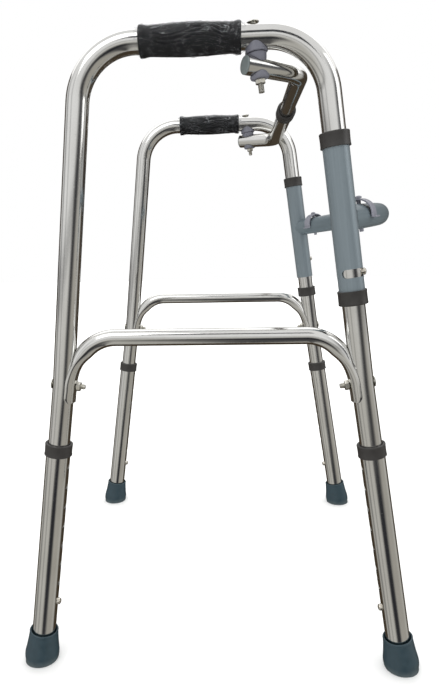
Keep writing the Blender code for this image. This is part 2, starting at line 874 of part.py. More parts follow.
bar_radius = {"left": outer_bar_radius, "right": inner_bar_radius}
swivel_gap = {"left": left_swivel_gap, "right": right_swivel_gap}


def bar_corner(side):
    start = saddle_point(side, bar_drop)
    y = frame_plane_y - (bar_mid_x - start.x) * math.tan(bar_arm_angle)
    return Vector((bar_mid_x, sides[side] * y, rail_height - bar_mid_drop))


def arm_direction(side):
    # From the corner of a bar half out along its arm
    return (saddle_point(side, bar_drop) - bar_corner(side)).normalized()


bolt_axis = add_axis("left_saddle_bolt_axis", axis_matrix(saddle_point("left", 0.0), fold_direction, forward),
                     fold_axes["left"])
left_bar_axis = add_axis("left_bar_axis", axis_frames[bolt_axis.name], bolt_axis)
plug_axis = add_axis(
    "guide_plug_axis", axis_matrix(Vector((bar_mid_x, inner_bar_end_y, rail_height - bar_mid_drop)), leftward, up),
    left_bar_axis)
right_bar_axis = add_axis("right_bar_axis", axis_frames[plug_axis.name], plug_axis)
bar_axes = {"left": left_bar_axis, "right": right_bar_axis}


def make_bar_half(side, name, end_y):
    corner = bar_corner(side)
    tail = saddle_point(side, bar_drop) + arm_direction(side) * bar_tail
    finish = Vector((bar_mid_x, end_y, rail_height - bar_mid_drop))
    path = rounded_path([tail, corner, finish], [bar_bend_radius], corner_steps)
    radius = bar_radius[side]
    half = add_piece(
        name, swept_mesh(name, path, radius, tube_sides), bar_axes[side], "polished_aluminium",
        Matrix.Identity(4))
    hollow(half, bar_wall)
    bolt_hole = (saddle_point(side, bar_drop - radius * 1.5), saddle_point(side, bar_drop + radius * 1.5),
                 bolt_hole_radius)
    drill(half, name + "_bolt_hole", [bolt_hole], bar_axes[side])

    bore = radius - bar_wall - seat_gap
    profile = [
        (0.0, end_cap_thickness),
        (radius * 0.8, end_cap_thickness * 0.85),
        (radius, end_cap_thickness * 0.4),
        (radius, 0.0),
        (bore, 0.0),
        (bore, -end_cap_plug),
        (0.0, -end_cap_plug),
    ]
    cap_name = side + "_bar_end_cap"
    cap_place = axis_matrix(tail + arm_direction(side) * seat_gap, arm_direction(side), up)
    cap = turned_mesh(cap_name, profile, tube_sides, ring=False)
    add_piece(cap_name, cap, bar_axes[side], "cap_plastic", cap_place)


def arm_rod(side):
    # The space of an arm's tube with its seating gap
    centre = saddle_point(side, bar_drop)
    reach = arm_direction(side) * saddle_rim_radius * 2.5
    return (centre - reach, centre + reach, bar_radius[side] + seat_gap)


def make_saddles(side):
    frame = axis_matrix(saddle_point(side, 0.0), fold_direction, forward)
    bore = bolt_radius + seat_gap
    radius = bar_radius[side]

    profile = [
        (saddle_top_radius, 0.0),
        (saddle_top_radius, saddle_rim_height - swivel_drop + saddle_rim_slope),
        (saddle_rim_radius, saddle_rim_height - swivel_drop),
        (saddle_rim_radius, -swivel_drop),
        (bore, -swivel_drop),
        (bore, 0.0),
    ]
    name = side + "_upper_saddle"
    upper = add_piece(name, turned_mesh(name, profile, tube_sides), fold_axes[side], "grey_plastic", frame)
    rail_cut = swept_mesh(name + "_rail_cut", frame_path(side), frame_radius + seat_gap, tube_sides, capped=True)
    combine(upper, add_cutter(name + "_rail_cut", rail_cut, fold_axes[side], Matrix.Identity(4)))

    top = -swivel_drop - swivel_gap[side]
    profile = [
        (saddle_low_radius, top),
        (saddle_low_radius, saddle_reach - bar_drop),
        (bore, saddle_reach - bar_drop),
        (bore, top),
    ]
    name = side + "_lower_saddle"
    lower = add_piece(name, turned_mesh(name, profile, tube_sides), bar_axes[side], "grey_plastic", frame)
    drill(lower, name + "_tube_cut", [arm_rod(side)], bar_axes[side], fine_sides)

    foot = -bar_drop - radius - saddle_foot_thickness
    profile = [
        (saddle_low_radius, -bar_drop - saddle_reach),
        (saddle_low_radius, foot + saddle_foot_thickness),
        (saddle_foot_radius, foot),
        (bore, foot),
        (bore, -bar_drop - saddle_reach),
    ]
    name = side + "_bottom_saddle"
    bottom = add_piece(name, turned_mesh(name, profile, tube_sides), bar_axes[side], "grey_plastic", frame)
    drill(bottom, name + "_tube_cut", [arm_rod(side)], bar_axes[side], fine_sides)

    # The bolt leans with the fold axis, so its head stands clear of the rail's crown
    lean = math.acos(fold_direction.z)
    head_seat = frame_radius / math.cos(lean) + saddle_head_radius * math.tan(lean) + seat_gap
    bolt_place = frame @ Matrix.Translation((0.0, 0.0, head_seat))
    name = side + "_saddle_bolt"
    nut_place = frame @ Matrix.Translation((0.0, 0.0, foot - seat_gap))
    if side == "left":
        profile = bolt_profile(saddle_head_radius, bolt_head_height, head_seat + saddle_bolt_end)
        bolt = turned_mesh(name, profile, bolt_sides, ring=False)
        add_piece(name, bolt, bolt_axis, "zinc_steel", bolt_place)
        add_nut("left_saddle_nut", bolt_axis, nut_place)
        return
    profile = bolt_profile(saddle_head_radius, bolt_head_height, head_seat + swivel_drop)
    bolt = turned_mesh(name, profile, bolt_sides, ring=False)
    add_piece(name, bolt, fold_axes[side], "zinc_steel", bolt_place)
    profile = [
        (0.0, top),
        (bolt_radius, top),
        (bolt_radius, -saddle_bolt_end + bolt_radius * 0.25),
        (bolt_radius * 0.75, -saddle_bolt_end),
        (0.0, -saddle_bolt_end),
    ]
    stud = turned_mesh("right_saddle_stud", profile, bolt_sides, ring=False)
    add_piece("right_saddle_stud", stud, right_bar_axis, "zinc_steel", frame)
    add_nut("right_saddle_nut", right_bar_axis, nut_place)


def make_bar_joint():
    # The collar at the outer half's mouth, with its lip round the inner half
    profile = collar_profile(outer_bar_radius, inner_bar_radius + seat_gap, bar_collar_length)
    collar_end = bar_collar_length - collar_lip - seat_gap
    mouth = Vector((bar_mid_x, collar_end - outer_bar_mouth_reach, rail_height - bar_mid_drop))
    place = axis_matrix(mouth, -leftward, up)
    add_piece(
        "bar_collar", turned_mesh("bar_collar", profile, tube_sides), left_bar_axis, "black_plastic", place)
    plug = ring_mesh(
        "bar_guide_plug", bolt_radius, inner_bar_radius - bar_wall - slide_gap,
        -guide_plug_length, -seat_gap, tube_sides)
    add_piece("bar_guide_plug", plug, plug_axis, "black_plastic")


# The walker

for side in sides:
    make_side_frame(side)
    make_brace(side)
    make_grip(side)
    make_sleeve(side)
    make_release(side)
    make_saddles(side)
    for end in ends:
        make_leg(side, end)
        make_brace_fasteners(side, end)
make_crossbar()
make_bar_half("left", "left_bar_half", -outer_bar_mouth_reach)
make_bar_half("right", "right_bar_half", inner_bar_end_y)
make_bar_joint()
bpy.context.view_layer.update()
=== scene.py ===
# Folding walker: two side frames on the sleeves of a bowed front crossbar, lower legs that telescope,
# and a top bar in two halves that swivels under each hand rail.
# Lengths are metres, +X is forward, +Y the user's left, +Z up, and the floor is at zero.

import math

import bmesh
import bpy
from mathutils import Matrix, Vector, noise


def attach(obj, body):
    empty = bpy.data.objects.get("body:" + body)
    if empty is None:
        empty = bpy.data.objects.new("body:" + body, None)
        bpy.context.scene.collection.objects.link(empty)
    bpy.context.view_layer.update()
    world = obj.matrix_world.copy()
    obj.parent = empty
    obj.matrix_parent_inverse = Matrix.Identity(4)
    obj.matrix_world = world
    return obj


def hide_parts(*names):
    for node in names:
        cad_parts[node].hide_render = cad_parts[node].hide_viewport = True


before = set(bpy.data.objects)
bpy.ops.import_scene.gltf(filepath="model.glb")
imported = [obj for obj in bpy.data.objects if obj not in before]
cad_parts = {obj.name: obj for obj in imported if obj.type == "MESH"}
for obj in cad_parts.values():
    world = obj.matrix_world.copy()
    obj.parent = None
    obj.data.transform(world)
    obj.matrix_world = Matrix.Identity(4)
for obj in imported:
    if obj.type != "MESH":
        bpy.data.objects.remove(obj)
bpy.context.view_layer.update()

forward = Vector((1.0, 0.0, 0.0))
leftward = Vector((0.0, 1.0, 0.0))
up = Vector((0.0, 0.0, 1.0))
sideSign = {"right": -1.0, "left": 1.0}


# camera

view = {
    "place": (0.0275, -0.8863, 0.5194),
    "yaw": math.radians(-3.75),
    "pitch": math.radians(9.47),
    "roll": math.radians(-1.25),
    "lens": 30.25,
    "shift": (20.57 / 696, -9.37 / 696),
}


def placeCamera():
    yaw, pitch, roll = view["yaw"], view["pitch"], view["roll"]
    ahead = Vector((math.sin(yaw) * math.cos(pitch), math.cos(yaw) * math.cos(pitch), -math.sin(pitch)))
    level = Vector((math.cos(yaw), -math.sin(yaw), 0.0))
    rise = level.cross(ahead)
    right = math.cos(roll) * level + math.sin(roll) * rise
    top = math.cos(roll) * rise - math.sin(roll) * level
    bpy.ops.object.camera_add()
    camera = bpy.context.object
    camera.name = "photoCamera"
    turn = Matrix((right, top, -ahead)).transposed().to_4x4()
    camera.matrix_world = Matrix.Translation(view["place"]) @ turn
    camera.data.lens = view["lens"]
    camera.data.sensor_width = 36.0
    camera.data.shift_x, camera.data.shift_y = view["shift"]
    camera.data.clip_start = 0.01
    bpy.context.scene.camera = camera


bpy.ops.object.select_all(action="DESELECT")
placeCamera()
print("camera placed")


# finishes

def linearColour(code):
    # an sRGB hex value as linear red, green, blue
    shares = [int(code[start:start + 2], 16) / 255 for start in (1, 3, 5)]
    return tuple(s / 12.92 if s <= 0.04045 else ((s + 0.055) / 1.055) ** 2.4 for s in shares) + (1.0,)


def addNode(tree, kind, settings, links):
    # one node with its settings and links; a key is a socket's name or number, or the node's own setting
    node = tree.nodes.new("ShaderNode" + kind)
    for key, value in settings.items():
        if isinstance(key, int) or key in node.inputs:
            node.inputs[key].default_value = value
        else:
            setattr(node, key, value)
    for key, source in links.items():
        tree.links.new(source, node.inputs[key])
    return node


def newFinish(name):
    finish = bpy.data.materials.new(name)
    finish.use_nodes = True
    finish.node_tree.nodes.clear()
    return finish, finish.node_tree


def polishedAluminium():
    # drawn tube, buffed and clear anodised: near mirror, with faint draw lines along it that break up
    # the reflections, and slow clouding from the buffing wheel
    finish, tree = newFinish("Polished anodised aluminium")
    along = addNode(tree, "UVMap", {"uv_map": "UVMap"}, {})
    # draw lines about 1.6 mm apart round the tube, drawn coarser than the real 0.1 mm so that they show
    stretch = addNode(tree, "Mapping", {"Scale": (9.0, 620.0, 1.0)}, {"Vector": along.outputs[0]})
    lines = addNode(tree, "TexNoise", {"Scale": 1.0, "Detail": 4.0, "Roughness": 0.6},
                    {"Vector": stretch.outputs[0]})
    place = addNode(tree, "TexCoord", {}, {})
    clouds = addNode(tree, "TexNoise", {"Scale": 22.0, "Detail": 3.0}, {"Vector": place.outputs["Object"]})
    specks = addNode(tree, "TexNoise", {"Scale": 420.0, "Detail": 2.0}, {"Vector": place.outputs["Object"]})
    tone = addNode(tree, "Mix", {"data_type": "RGBA", 6: linearColour("#E8E8E6"),
                                 7: linearColour("#D3D2CF")}, {0: clouds.outputs["Fac"]})
    sheen = addNode(tree, "MapRange", {"From Min": 0.3, "From Max": 0.75, "To Min": 0.075, "To Max": 0.16},
                    {"Value": lines.outputs["Fac"]})
    haze = addNode(tree, "MapRange", {"From Min": 0.58, "From Max": 0.75, "To Min": 0.0, "To Max": 0.10},
                   {"Value": specks.outputs["Fac"]})
    dull = addNode(tree, "Math", {"operation": "ADD"}, {0: sheen.outputs[0], 1: haze.outputs[0]})
    relief = addNode(tree, "Bump", {"Strength": 0.10, "Distance": 0.0003}, {"Height": lines.outputs["Fac"]})
    shader = addNode(tree, "BsdfPrincipled", {"Metallic": 1.0},
                     {"Base Color": tone.outputs[2], "Roughness": dull.outputs[0],
                      "Normal": relief.outputs[0]})
    addNode(tree, "OutputMaterial", {}, {"Surface": shader.outputs[0]})
    return finish


def coatedTube(name, dark, light, roughness, metallic):
    # satin grey coat over drawn aluminium tube: soft reflections, faint lines along the tube under the
    # coat and a slight orange peel
    finish, tree = newFinish(name)
    along = addNode(tree, "UVMap", {"uv_map": "UVMap"}, {})
    stretch = addNode(tree, "Mapping", {"Scale": (7.0, 420.0, 1.0)}, {"Vector": along.outputs[0]})
    lines = addNode(tree, "TexNoise", {"Scale": 1.0, "Detail": 3.0}, {"Vector": stretch.outputs[0]})
    place = addNode(tree, "TexCoord", {}, {})
    peel = addNode(tree, "TexNoise", {"Scale": 650.0, "Detail": 1.0}, {"Vector": place.outputs["Object"]})
    tone = addNode(tree, "Mix", {"data_type": "RGBA", 6: linearColour(dark), 7: linearColour(light)},
                   {0: lines.outputs["Fac"]})
    gloss = addNode(tree, "MapRange",
                    {"From Min": 0.3, "From Max": 0.7,
                     "To Min": roughness - 0.05, "To Max": roughness + 0.07},
                    {"Value": lines.outputs["Fac"]})
    height = addNode(tree, "Math", {"operation": "ADD"}, {0: peel.outputs["Fac"], 1: lines.outputs["Fac"]})
    relief = addNode(tree, "Bump", {"Strength": 0.10, "Distance": 0.0003}, {"Height": height.outputs[0]})
    shader = addNode(tree, "BsdfPrincipled", {"Metallic": metallic},
                     {"Base Color": tone.outputs[2], "Roughness": gloss.outputs[0],
                      "Normal": relief.outputs[0]})
    addNode(tree, "OutputMaterial", {}, {"Surface": shader.outputs[0]})
    return finish


def mouldedPlastic(name, dark, light, roughness, grain, ior=1.49):
    # injection moulded: an even colour with slight flow clouding, the fine pitting of a blasted mould
    # and a roughness that changes a little with the flow
    finish, tree = newFinish(name)
    place = addNode(tree, "TexCoord", {}, {})
    flow = addNode(tree, "TexNoise", {"Scale": 130.0, "Detail": 3.0, "Distortion": 0.6},
                   {"Vector": place.outputs["Object"]})
    pits = addNode(tree, "TexNoise", {"Scale": 1000.0 / grain, "Detail": 2.0},
                   {"Vector": place.outputs["Object"]})  # grain is the pit spacing in mm
    tone = addNode(tree, "Mix", {"data_type": "RGBA", 6: linearColour(dark), 7: linearColour(light)},
                   {0: flow.outputs["Fac"]})
    gloss = addNode(tree, "MapRange",
                    {"From Min": 0.3, "From Max": 0.7,
                     "To Min": roughness - 0.06, "To Max": roughness + 0.08},
                    {"Value": flow.outputs["Fac"]})
    relief = addNode(tree, "Bump", {"Strength": 0.18, "Distance": 0.0003}, {"Height": pits.outputs["Fac"]})
    shader = addNode(tree, "BsdfPrincipled", {"IOR": ior},
                     {"Base Color": tone.outputs[2], "Roughness": gloss.outputs[0],
                      "Normal": relief.outputs[0]})
    addNode(tree, "OutputMaterial", {}, {"Surface": shader.outputs[0]})
    return finish


def mouldedRubber():
    # moulded blue-green rubber: dull, slightly pitted, paler where the foot has rubbed and gathered dust
    # near the floor
    finish, tree = newFinish("Moulded rubber")
    place = addNode(tree, "TexCoord", {}, {})
    height = addNode(tree, "SeparateXYZ", {}, {0: place.outputs["Object"]})
    blotch = addNode(tree, "TexNoise", {"Scale": 160.0, "Detail": 4.0}, {"Vector": place.outputs["Object"]})
    pits = addNode(tree, "TexNoise", {"Scale": 1100.0, "Detail": 2.0}, {"Vector": place.outputs["Object"]})
    tone = addNode(tree, "Mix", {"data_type": "RGBA", 6: linearColour("#20333B"),
                                 7: linearColour("#2B424C")}, {0: blotch.outputs["Fac"]})
    low = addNode(tree, "MapRange", {"From Min": 0.0, "From Max": 0.009, "To Min": 0.55, "To Max": 0.0},
                  {"Value": height.outputs[2]})
    dust = addNode(tree, "Math", {"operation": "MULTIPLY"}, {0: low.outputs[0], 1: blotch.outputs["Fac"]})
    worn = addNode(tree, "Mix", {"data_type": "RGBA", 7: linearColour("#7C8584")},
                   {0: dust.outputs[0], 6: tone.outputs[2]})
    gloss = addNode(tree, "MapRange", {"From Min": 0.3, "From Max": 0.7, "To Min": 0.34, "To Max": 0.52},
                    {"Value": blotch.outputs["Fac"]})
    relief = addNode(tree, "Bump", {"Strength": 0.22, "Distance": 0.0003}, {"Height": pits.outputs["Fac"]})
    shader = addNode(tree, "BsdfPrincipled", {"IOR": 1.52},
                     {"Base Color": worn.outputs[2], "Roughness": gloss.outputs[0],
                      "Normal": relief.outputs[0]})
    addNode(tree, "OutputMaterial", {}, {"Surface": shader.outputs[0]})
    return finish


def platedSteel(name, cool, warm, roughness):
    # electroplated steel: a bright metal with the slight cool and warm clouds of the plating bath
    finish, tree = newFinish(name)
    place = addNode(tree, "TexCoord", {}, {})
    bath = addNode(tree, "TexNoise", {"Scale": 240.0, "Detail": 3.0}, {"Vector": place.outputs["Object"]})
    grain = addNode(tree, "TexNoise", {"Scale": 1400.0, "Detail": 2.0}, {"Vector": place.outputs["Object"]})
    tone = addNode(tree, "Mix", {"data_type": "RGBA", 6: linearColour(cool), 7: linearColour(warm)},
                   {0: bath.outputs["Fac"]})
    gloss = addNode(tree, "MapRange",
                    {"From Min": 0.3, "From Max": 0.7,
                     "To Min": roughness - 0.08, "To Max": roughness + 0.08},
                    {"Value": grain.outputs["Fac"]})
    relief = addNode(tree, "Bump", {"Strength": 0.08, "Distance": 0.0002}, {"Height": grain.outputs["Fac"]})
    shader = addNode(tree, "BsdfPrincipled", {"Metallic": 1.0},
                     {"Base Color": tone.outputs[2], "Roughness": gloss.outputs[0],
                      "Normal": relief.outputs[0]})
    addNode(tree, "OutputMaterial", {}, {"Surface": shader.outputs[0]})
    return finish


def clearFilm():
    # thin polyethylene wrap: clear, so that the dark grip shows through, with its creases painted pale as
    # glints and a milky painted highlight over the top
    finish, tree = newFinish("Polyethylene wrap")
    place = addNode(tree, "TexCoord", {}, {})
    # creases about 5 mm apart that lean along the grip, and finer ones between them
    lean = addNode(tree, "Mapping", {"Rotation": (0.0, 0.5, 0.3), "Scale": (85.0, 210.0, 260.0)},
                   {"Vector": place.outputs["Object"]})
    folds = addNode(tree, "TexNoise", {"Scale": 1.0, "Detail": 3.0, "Roughness": 0.6, "Distortion": 1.2},
                    {"Vector": lean.outputs[0]})
    centred = addNode(tree, "Math", {"operation": "SUBTRACT", 1: 0.5}, {0: folds.outputs["Fac"]})
    apart = addNode(tree, "Math", {"operation": "ABSOLUTE"}, {0: centred.outputs[0]})
    # the crease mask bumps the film and also paints pale, near opaque lines on the clear film as painted
    # glints
    creaseGlint = addNode(tree, "MapRange",
                     {"interpolation_type": "SMOOTHSTEP", "From Min": 0.022, "From Max": 0.002,
                      "To Min": 0.0, "To Max": 1.0},
                     {"Value": apart.outputs[0]})
    patches = addNode(tree, "TexNoise", {"Scale": 75.0, "Detail": 2.0}, {"Vector": place.outputs["Object"]})
    where = addNode(tree, "MapRange",
                    {"interpolation_type": "SMOOTHSTEP", "From Min": 0.42, "From Max": 0.62,
                     "To Min": 0.25, "To Max": 1.0},
                    {"Value": patches.outputs["Fac"]})
    height = addNode(tree, "SeparateXYZ", {}, {0: place.outputs["Object"]})
    # painted highlight: the crease glints are painted stronger over the top of the rail, where the light
    # falls
    top = addNode(tree, "MapRange",
                  {"interpolation_type": "SMOOTHSTEP", "From Min": 0.722, "From Max": 0.740,
                   "To Min": 0.30, "To Max": 1.0},
                  {"Value": height.outputs[2]})
    strength = addNode(tree, "Math", {"operation": "MULTIPLY"}, {0: creaseGlint.outputs[0], 1: where.outputs[0]})
    strength = addNode(tree, "Math", {"operation": "MULTIPLY"}, {0: strength.outputs[0], 1: top.outputs[0]})
    # a milky painted highlight along the top of the film, put into its alpha
    topHighlight = addNode(tree, "MapRange",
                    {"interpolation_type": "SMOOTHSTEP", "From Min": 0.739, "From Max": 0.745,
                     "To Min": 0.0, "To Max": 0.16},
                    {"Value": height.outputs[2]})
    cover = addNode(tree, "Math", {"operation": "MULTIPLY_ADD", 1: 0.62},
                    {0: strength.outputs[0], 2: topHighlight.outputs[0]})
    relief = addNode(tree, "Bump", {"Strength": 0.8, "Distance": 0.001}, {"Height": creaseGlint.outputs[0]})
    # the pale base colour is the colour of the painted glints and the painted highlight
    shader = addNode(tree, "BsdfPrincipled",
                     {"Base Color": linearColour("#DCE0E4"), "Roughness": 0.10, "IOR": 1.51},
                     {"Alpha": cover.outputs[0], "Normal": relief.outputs[0]})
    addNode(tree, "OutputMaterial", {}, {"Surface": shader.outputs[0]})
    return finish


finishes = {
    "tube": polishedAluminium(),
    "sleeve": coatedTube("Satin anodised aluminium", "#6D787E", "#828D93", 0.36, 0.35),
    "crossbar": coatedTube("Satin enamelled aluminium", "#606C72", "#6E7A80", 0.36, 0.15),
    "collar": mouldedPlastic("Moulded polypropylene", "#292726", "#353331", 0.42, 1.1),
    "grip": mouldedPlastic("Moulded PVC grip", "#0E0F11", "#17181B", 0.50, 1.0, 1.34),
    "saddle": mouldedPlastic("Moulded nylon", "#5E5F68", "#6E6F79", 0.42, 1.3, 1.53),
    "cap": mouldedPlastic("Moulded polyethylene", "#606868", "#707878", 0.40, 1.2, 1.51),
    "pad": mouldedPlastic("Moulded acetal", "#7C7D87", "#8C8D97", 0.36, 1.4, 1.48),
    "rubber": mouldedRubber(),
    "zinc": platedSteel("Zinc plated steel", "#D4D6D6", "#C9C2AE", 0.26),
    "spring": platedSteel("Nickel plated spring steel", "#DAD8D2", "#CDC4B4", 0.16),
    "wrap": clearFilm(),
}
print("finishes made:", len(finishes))


# bench tools

def pick(*pieces):
    bpy.ops.object.select_all(action="DESELECT")
    for piece in pieces:
        piece.select_set(True)
    bpy.context.view_layer.objects.active = pieces[-1]


def startEdit(piece):
    pick(piece)
    bpy.ops.object.mode_set(mode="EDIT")
    bpy.ops.mesh.select_all(action="SELECT")


def endEdit():
    bpy.ops.object.mode_set(mode="OBJECT")


def lift(height):
    return Matrix.Translation(up * height)


def applyModifier(piece, kind, **settings):
    pick(piece)
    step = piece.modifiers.new(kind.lower(), kind)
    for key, value in settings.items():
        setattr(step, key, value)
    bpy.ops.object.modifier_apply(modifier=step.name)


def axisPlace(origin, zAxis, xHint):
    # a place whose Z is zAxis and whose X is as near xHint as it can be
    zAxis = zAxis.normalized()
    xAxis = (xHint - zAxis * xHint.dot(zAxis)).normalized()
    place = Matrix((xAxis, zAxis.cross(xAxis), zAxis)).transposed().to_4x4()
    place.translation = origin
    return place


def setInPlace(piece, place):
    pick(piece)
    piece.matrix_world = place
    bpy.ops.object.transform_apply(location=True, rotation=True, scale=True)
    return piece


def copyPiece(source, name, place=None):
    pick(source)
    bpy.ops.object.duplicate(linked=False)
    piece = bpy.context.object
    piece.name = name
    return setInPlace(piece, place) if place is not None else piece


def mirrorPiece(source, name):
    # the same piece on the other side of the walker, its faces turned back outward
    piece = copyPiece(source, name, Matrix.Diagonal((1.0, -1.0, 1.0, 1.0)))
    shape = bmesh.new()
    shape.from_mesh(piece.data)
    insideOut = shape.calc_volume(signed=True) < 0.0
    shape.free()
    if insideOut:
        startEdit(piece)
        bpy.ops.mesh.flip_normals()
        endEdit()
    return piece


def bothSides(rightPiece):
    # a right-hand piece and its mirror image, each with its side
    leftPiece = mirrorPiece(rightPiece, rightPiece.name.replace("right", "left"))
    return ("right", rightPiece), ("left", leftPiece)


def closeUp(piece):
    # doubles merged, then normals turned outward
    startEdit(piece)
    bpy.ops.mesh.remove_doubles(threshold=0.000001)
    bpy.ops.mesh.normals_make_consistent(inside=False)
    endEdit()


def closeEnds(piece):
    startEdit(piece)
    bpy.ops.mesh.fill_holes(sides=0)
    endEdit()
    closeUp(piece)


def spinProfile(name, profile, steps=64):
    # a loop of (radius, height) points spun round Z; an edge that lies on the axis is taken out first
    bpy.ops.object.select_all(action="DESELECT")
    bpy.ops.mesh.primitive_circle_add(vertices=len(profile))
    piece = bpy.context.object
    piece.name = name
    for corner, (radius, height) in zip(piece.data.vertices, profile):
        corner.co = (radius, 0.0, height)
    bpy.ops.object.mode_set(mode="EDIT")
    bpy.ops.mesh.select_mode(type="EDGE")
    bpy.ops.mesh.select_all(action="DESELECT")
    shape = bmesh.from_edit_mesh(piece.data)
    onAxis = [edge for edge in shape.edges if all(corner.co.x < 1e-7 for corner in edge.verts)]
    for edge in onAxis:
        edge.select_set(True)
    if onAxis:
        bmesh.update_edit_mesh(piece.data)
        bpy.ops.mesh.delete(type="EDGE")
    bpy.ops.mesh.select_all(action="SELECT")
    bpy.ops.mesh.spin(steps=steps, angle=math.tau, center=(0.0, 0.0, 0.0), axis=(0.0, 0.0, 1.0))
    endEdit()
    closeUp(piece)
    return piece


def tubeAlong(name, path, radius, sides=48):
    # a tube's open skin along a polyline, with a UV map in metres along it and round it
    bpy.ops.object.select_all(action="DESELECT")
    bpy.ops.curve.primitive_nurbs_path_add()
    piece = bpy.context.object
    piece.name = name
    line = piece.data
    line.splines.clear()
    run = line.splines.new("POLY")
    run.points.add(len(path) - 1)
    for knot, point in zip(run.points, path):
        knot.co = (*point, 1.0)
    line.bevel_depth = radius
    line.bevel_resolution = (sides - 4) // 2
    bpy.ops.object.convert(target="MESH")
    lengths = [0.0]
    for before, after in zip(path, path[1:]):
        lengths.append(lengths[-1] + (after - before).length)
    for spot in piece.data.uv_layers[0].data:
        ring = min(max(round(spot.uv.x * (len(path) - 1)), 0), len(path) - 1)
        spot.uv = (lengths[ring], spot.uv.y * math.tau * radius)
    return piece


def thicken(piece, wall):
    applyModifier(piece, "SOLIDIFY", thickness=wall, offset=-1.0, use_even_offset=True)


def cutWith(piece, cutter, operation="DIFFERENCE"):
    applyModifier(piece, "BOOLEAN", operation=operation, solver="EXACT", object=cutter)
    bpy.data.objects.remove(cutter, do_unlink=True)


def rodCutter(rods, sides=32):
    cutters = []
    for start, end, radius in rods:
        along = end - start
        bpy.ops.object.select_all(action="DESELECT")
        bpy.ops.mesh.primitive_cylinder_add(vertices=sides, radius=radius, depth=along.length)
        cutter = bpy.context.object
        hint = leftward if abs(along.normalized().dot(leftward)) < 0.9 else up
        cutters.append(setInPlace(cutter, axisPlace((start + end) / 2, along, hint)))
    pick(*cutters)
    if len(cutters) > 1:
        bpy.ops.object.join()
    return bpy.context.object


def drill(piece, rods, sides=32):
    cutWith(piece, rodCutter(rods, sides))


def softenEdges(piece, width, segments=2, angle=40.0):
    applyModifier(piece, "BEVEL", width=width, segments=segments, limit_method="ANGLE",
                  angle_limit=math.radians(angle), use_clamp_overlap=True)


def bentPath(corners, bends, steps):
    # a polyline through corners with an arc of the given radius at each inner corner
    path = [corners[0]]
    for before, corner, after, radius in zip(corners, corners[1:], corners[2:], bends):
        if radius == 0.0:
            path.append(corner)
            continue
        into = (corner - before).normalized()
        out = (after - corner).normalized()
        turn = into.angle(out)
        centre = corner + (out - into).normalized() * radius / math.cos(turn / 2)
        start = corner - into * radius * math.tan(turn / 2) - centre
        axis = into.cross(out).normalized()
        for step in range(steps + 1):
            path.append(centre + Matrix.Rotation(turn * step / steps, 3, axis) @ start)
    path.append(corners[-1])
    return path


def evenPath(path, spacing):
    # long straight runs of a path split into even steps
    fine = [path[0]]
    for before, after in zip(path, path[1:]):
        count = max(1, math.ceil((after - before).length / spacing))
        fine += [before.lerp(after, step / count) for step in range(1, count + 1)]
    return fine


def dress(piece, body, finish, slot, *nodes):
    # smooth shading, the finish, and what the piece rides on and stands for
    pick(piece)
    bpy.ops.object.shade_smooth_by_angle(angle=math.radians(38.0))
    piece.data.materials.clear()
    piece.data.materials.append(finishes[finish])
    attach(piece, body)
    if nodes:
        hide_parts(*nodes)


# lines that the pieces share

seatGap = 0.0003  # left between pieces that sit on one another
legPlan = {
    "front": {"rail": 0.120, "kink": 0.169, "foot": 0.225, "inward": -forward},
    "rear": {"rail": -0.135, "kink": -0.175, "foot": -0.225, "inward": forward},
}
framePlan = {
    "planeY": 0.231,
    "radius": 0.0127,
    "wall": 0.0012,
    "railHeight": 0.728,
    "kinkHeight": 0.357,
    "cornerBend": 0.065,
    "innerLegStart": 0.051,
    "buttonHoleHeight": 0.082,
    "buttonHole": 0.0042,
    "boltHole": 0.0034,
}


def legPoints(side, end):
    y = sideSign[side] * framePlan["planeY"]
    plan = legPlan[end]
    return (Vector((plan["rail"], y, framePlan["railHeight"])),
            Vector((plan["kink"], y, framePlan["kinkHeight"])),
            Vector((plan["foot"], y, 0.0)))


def legPlace(side, end):
    # stands on the foot's point with Z up the leg and X towards the other leg
    corner, kink, foot = legPoints(side, end)
    return axisPlace(foot, kink - foot, legPlan[end]["inward"])


frontCorner, frontKink = legPoints("left", "front")[:2]
foldDirection = (frontCorner - frontKink).normalized()
foldForward = (forward - foldDirection * forward.dot(foldDirection)).normalized()


def foldPoint(side, drop):
    return legPoints(side, "front")[0] - foldDirection * drop


def foldPlace(side):
    return axisPlace(foldPoint(side, 0.0), foldDirection, forward)


def braceBoltLine(side, end):
    # the bolt's line starts on the leg's axis and points towards the other leg
    corner, kink, foot = legPoints(side, end)
    along = ((corner - kink).normalized() + (kink - foot).normalized()).normalized()
    way = legPlan[end]["inward"]
    return kink, (way - along * way.dot(along)).normalized()


barPlan = {
    "saddleX": 0.0495,
    "saddleDrop": 0.0305,
    "middleX": 0.0995,
    "middleHeight": 0.695,
    "armAngle": math.radians(27.9),
    "bend": 0.028,
    "tail": 0.0155,
    "wall": 0.0012,
    "radius": {"left": 0.0111, "right": 0.009525},
    "endY": {"left": -0.030, "right": 0.052},
}


def saddlePoint(side, drop):
    onRail = Vector((barPlan["saddleX"], sideSign[side] * framePlan["planeY"], framePlan["railHeight"]))
    return onRail - foldDirection * drop


def onBar(y):
    return Vector((barPlan["middleX"], y, barPlan["middleHeight"]))


def barCorner(side):
    armX = barPlan["middleX"] - saddlePoint(side, barPlan["saddleDrop"]).x
    return onBar(sideSign[side] * (framePlan["planeY"] - armX * math.tan(barPlan["armAngle"])))


def armDirection(side):
    return (saddlePoint(side, barPlan["saddleDrop"]) - barCorner(side)).normalized()


# side frames

sleeveButton = {"drop": 0.2490, "angle": math.radians(8.0), "reach": 0.0175}


def sleeveButtonWay(side):
    angle = sideSign[side] * sleeveButton["angle"]
    return foldPlace(side).to_3x3() @ Vector((math.cos(angle), math.sin(angle), 0.0))


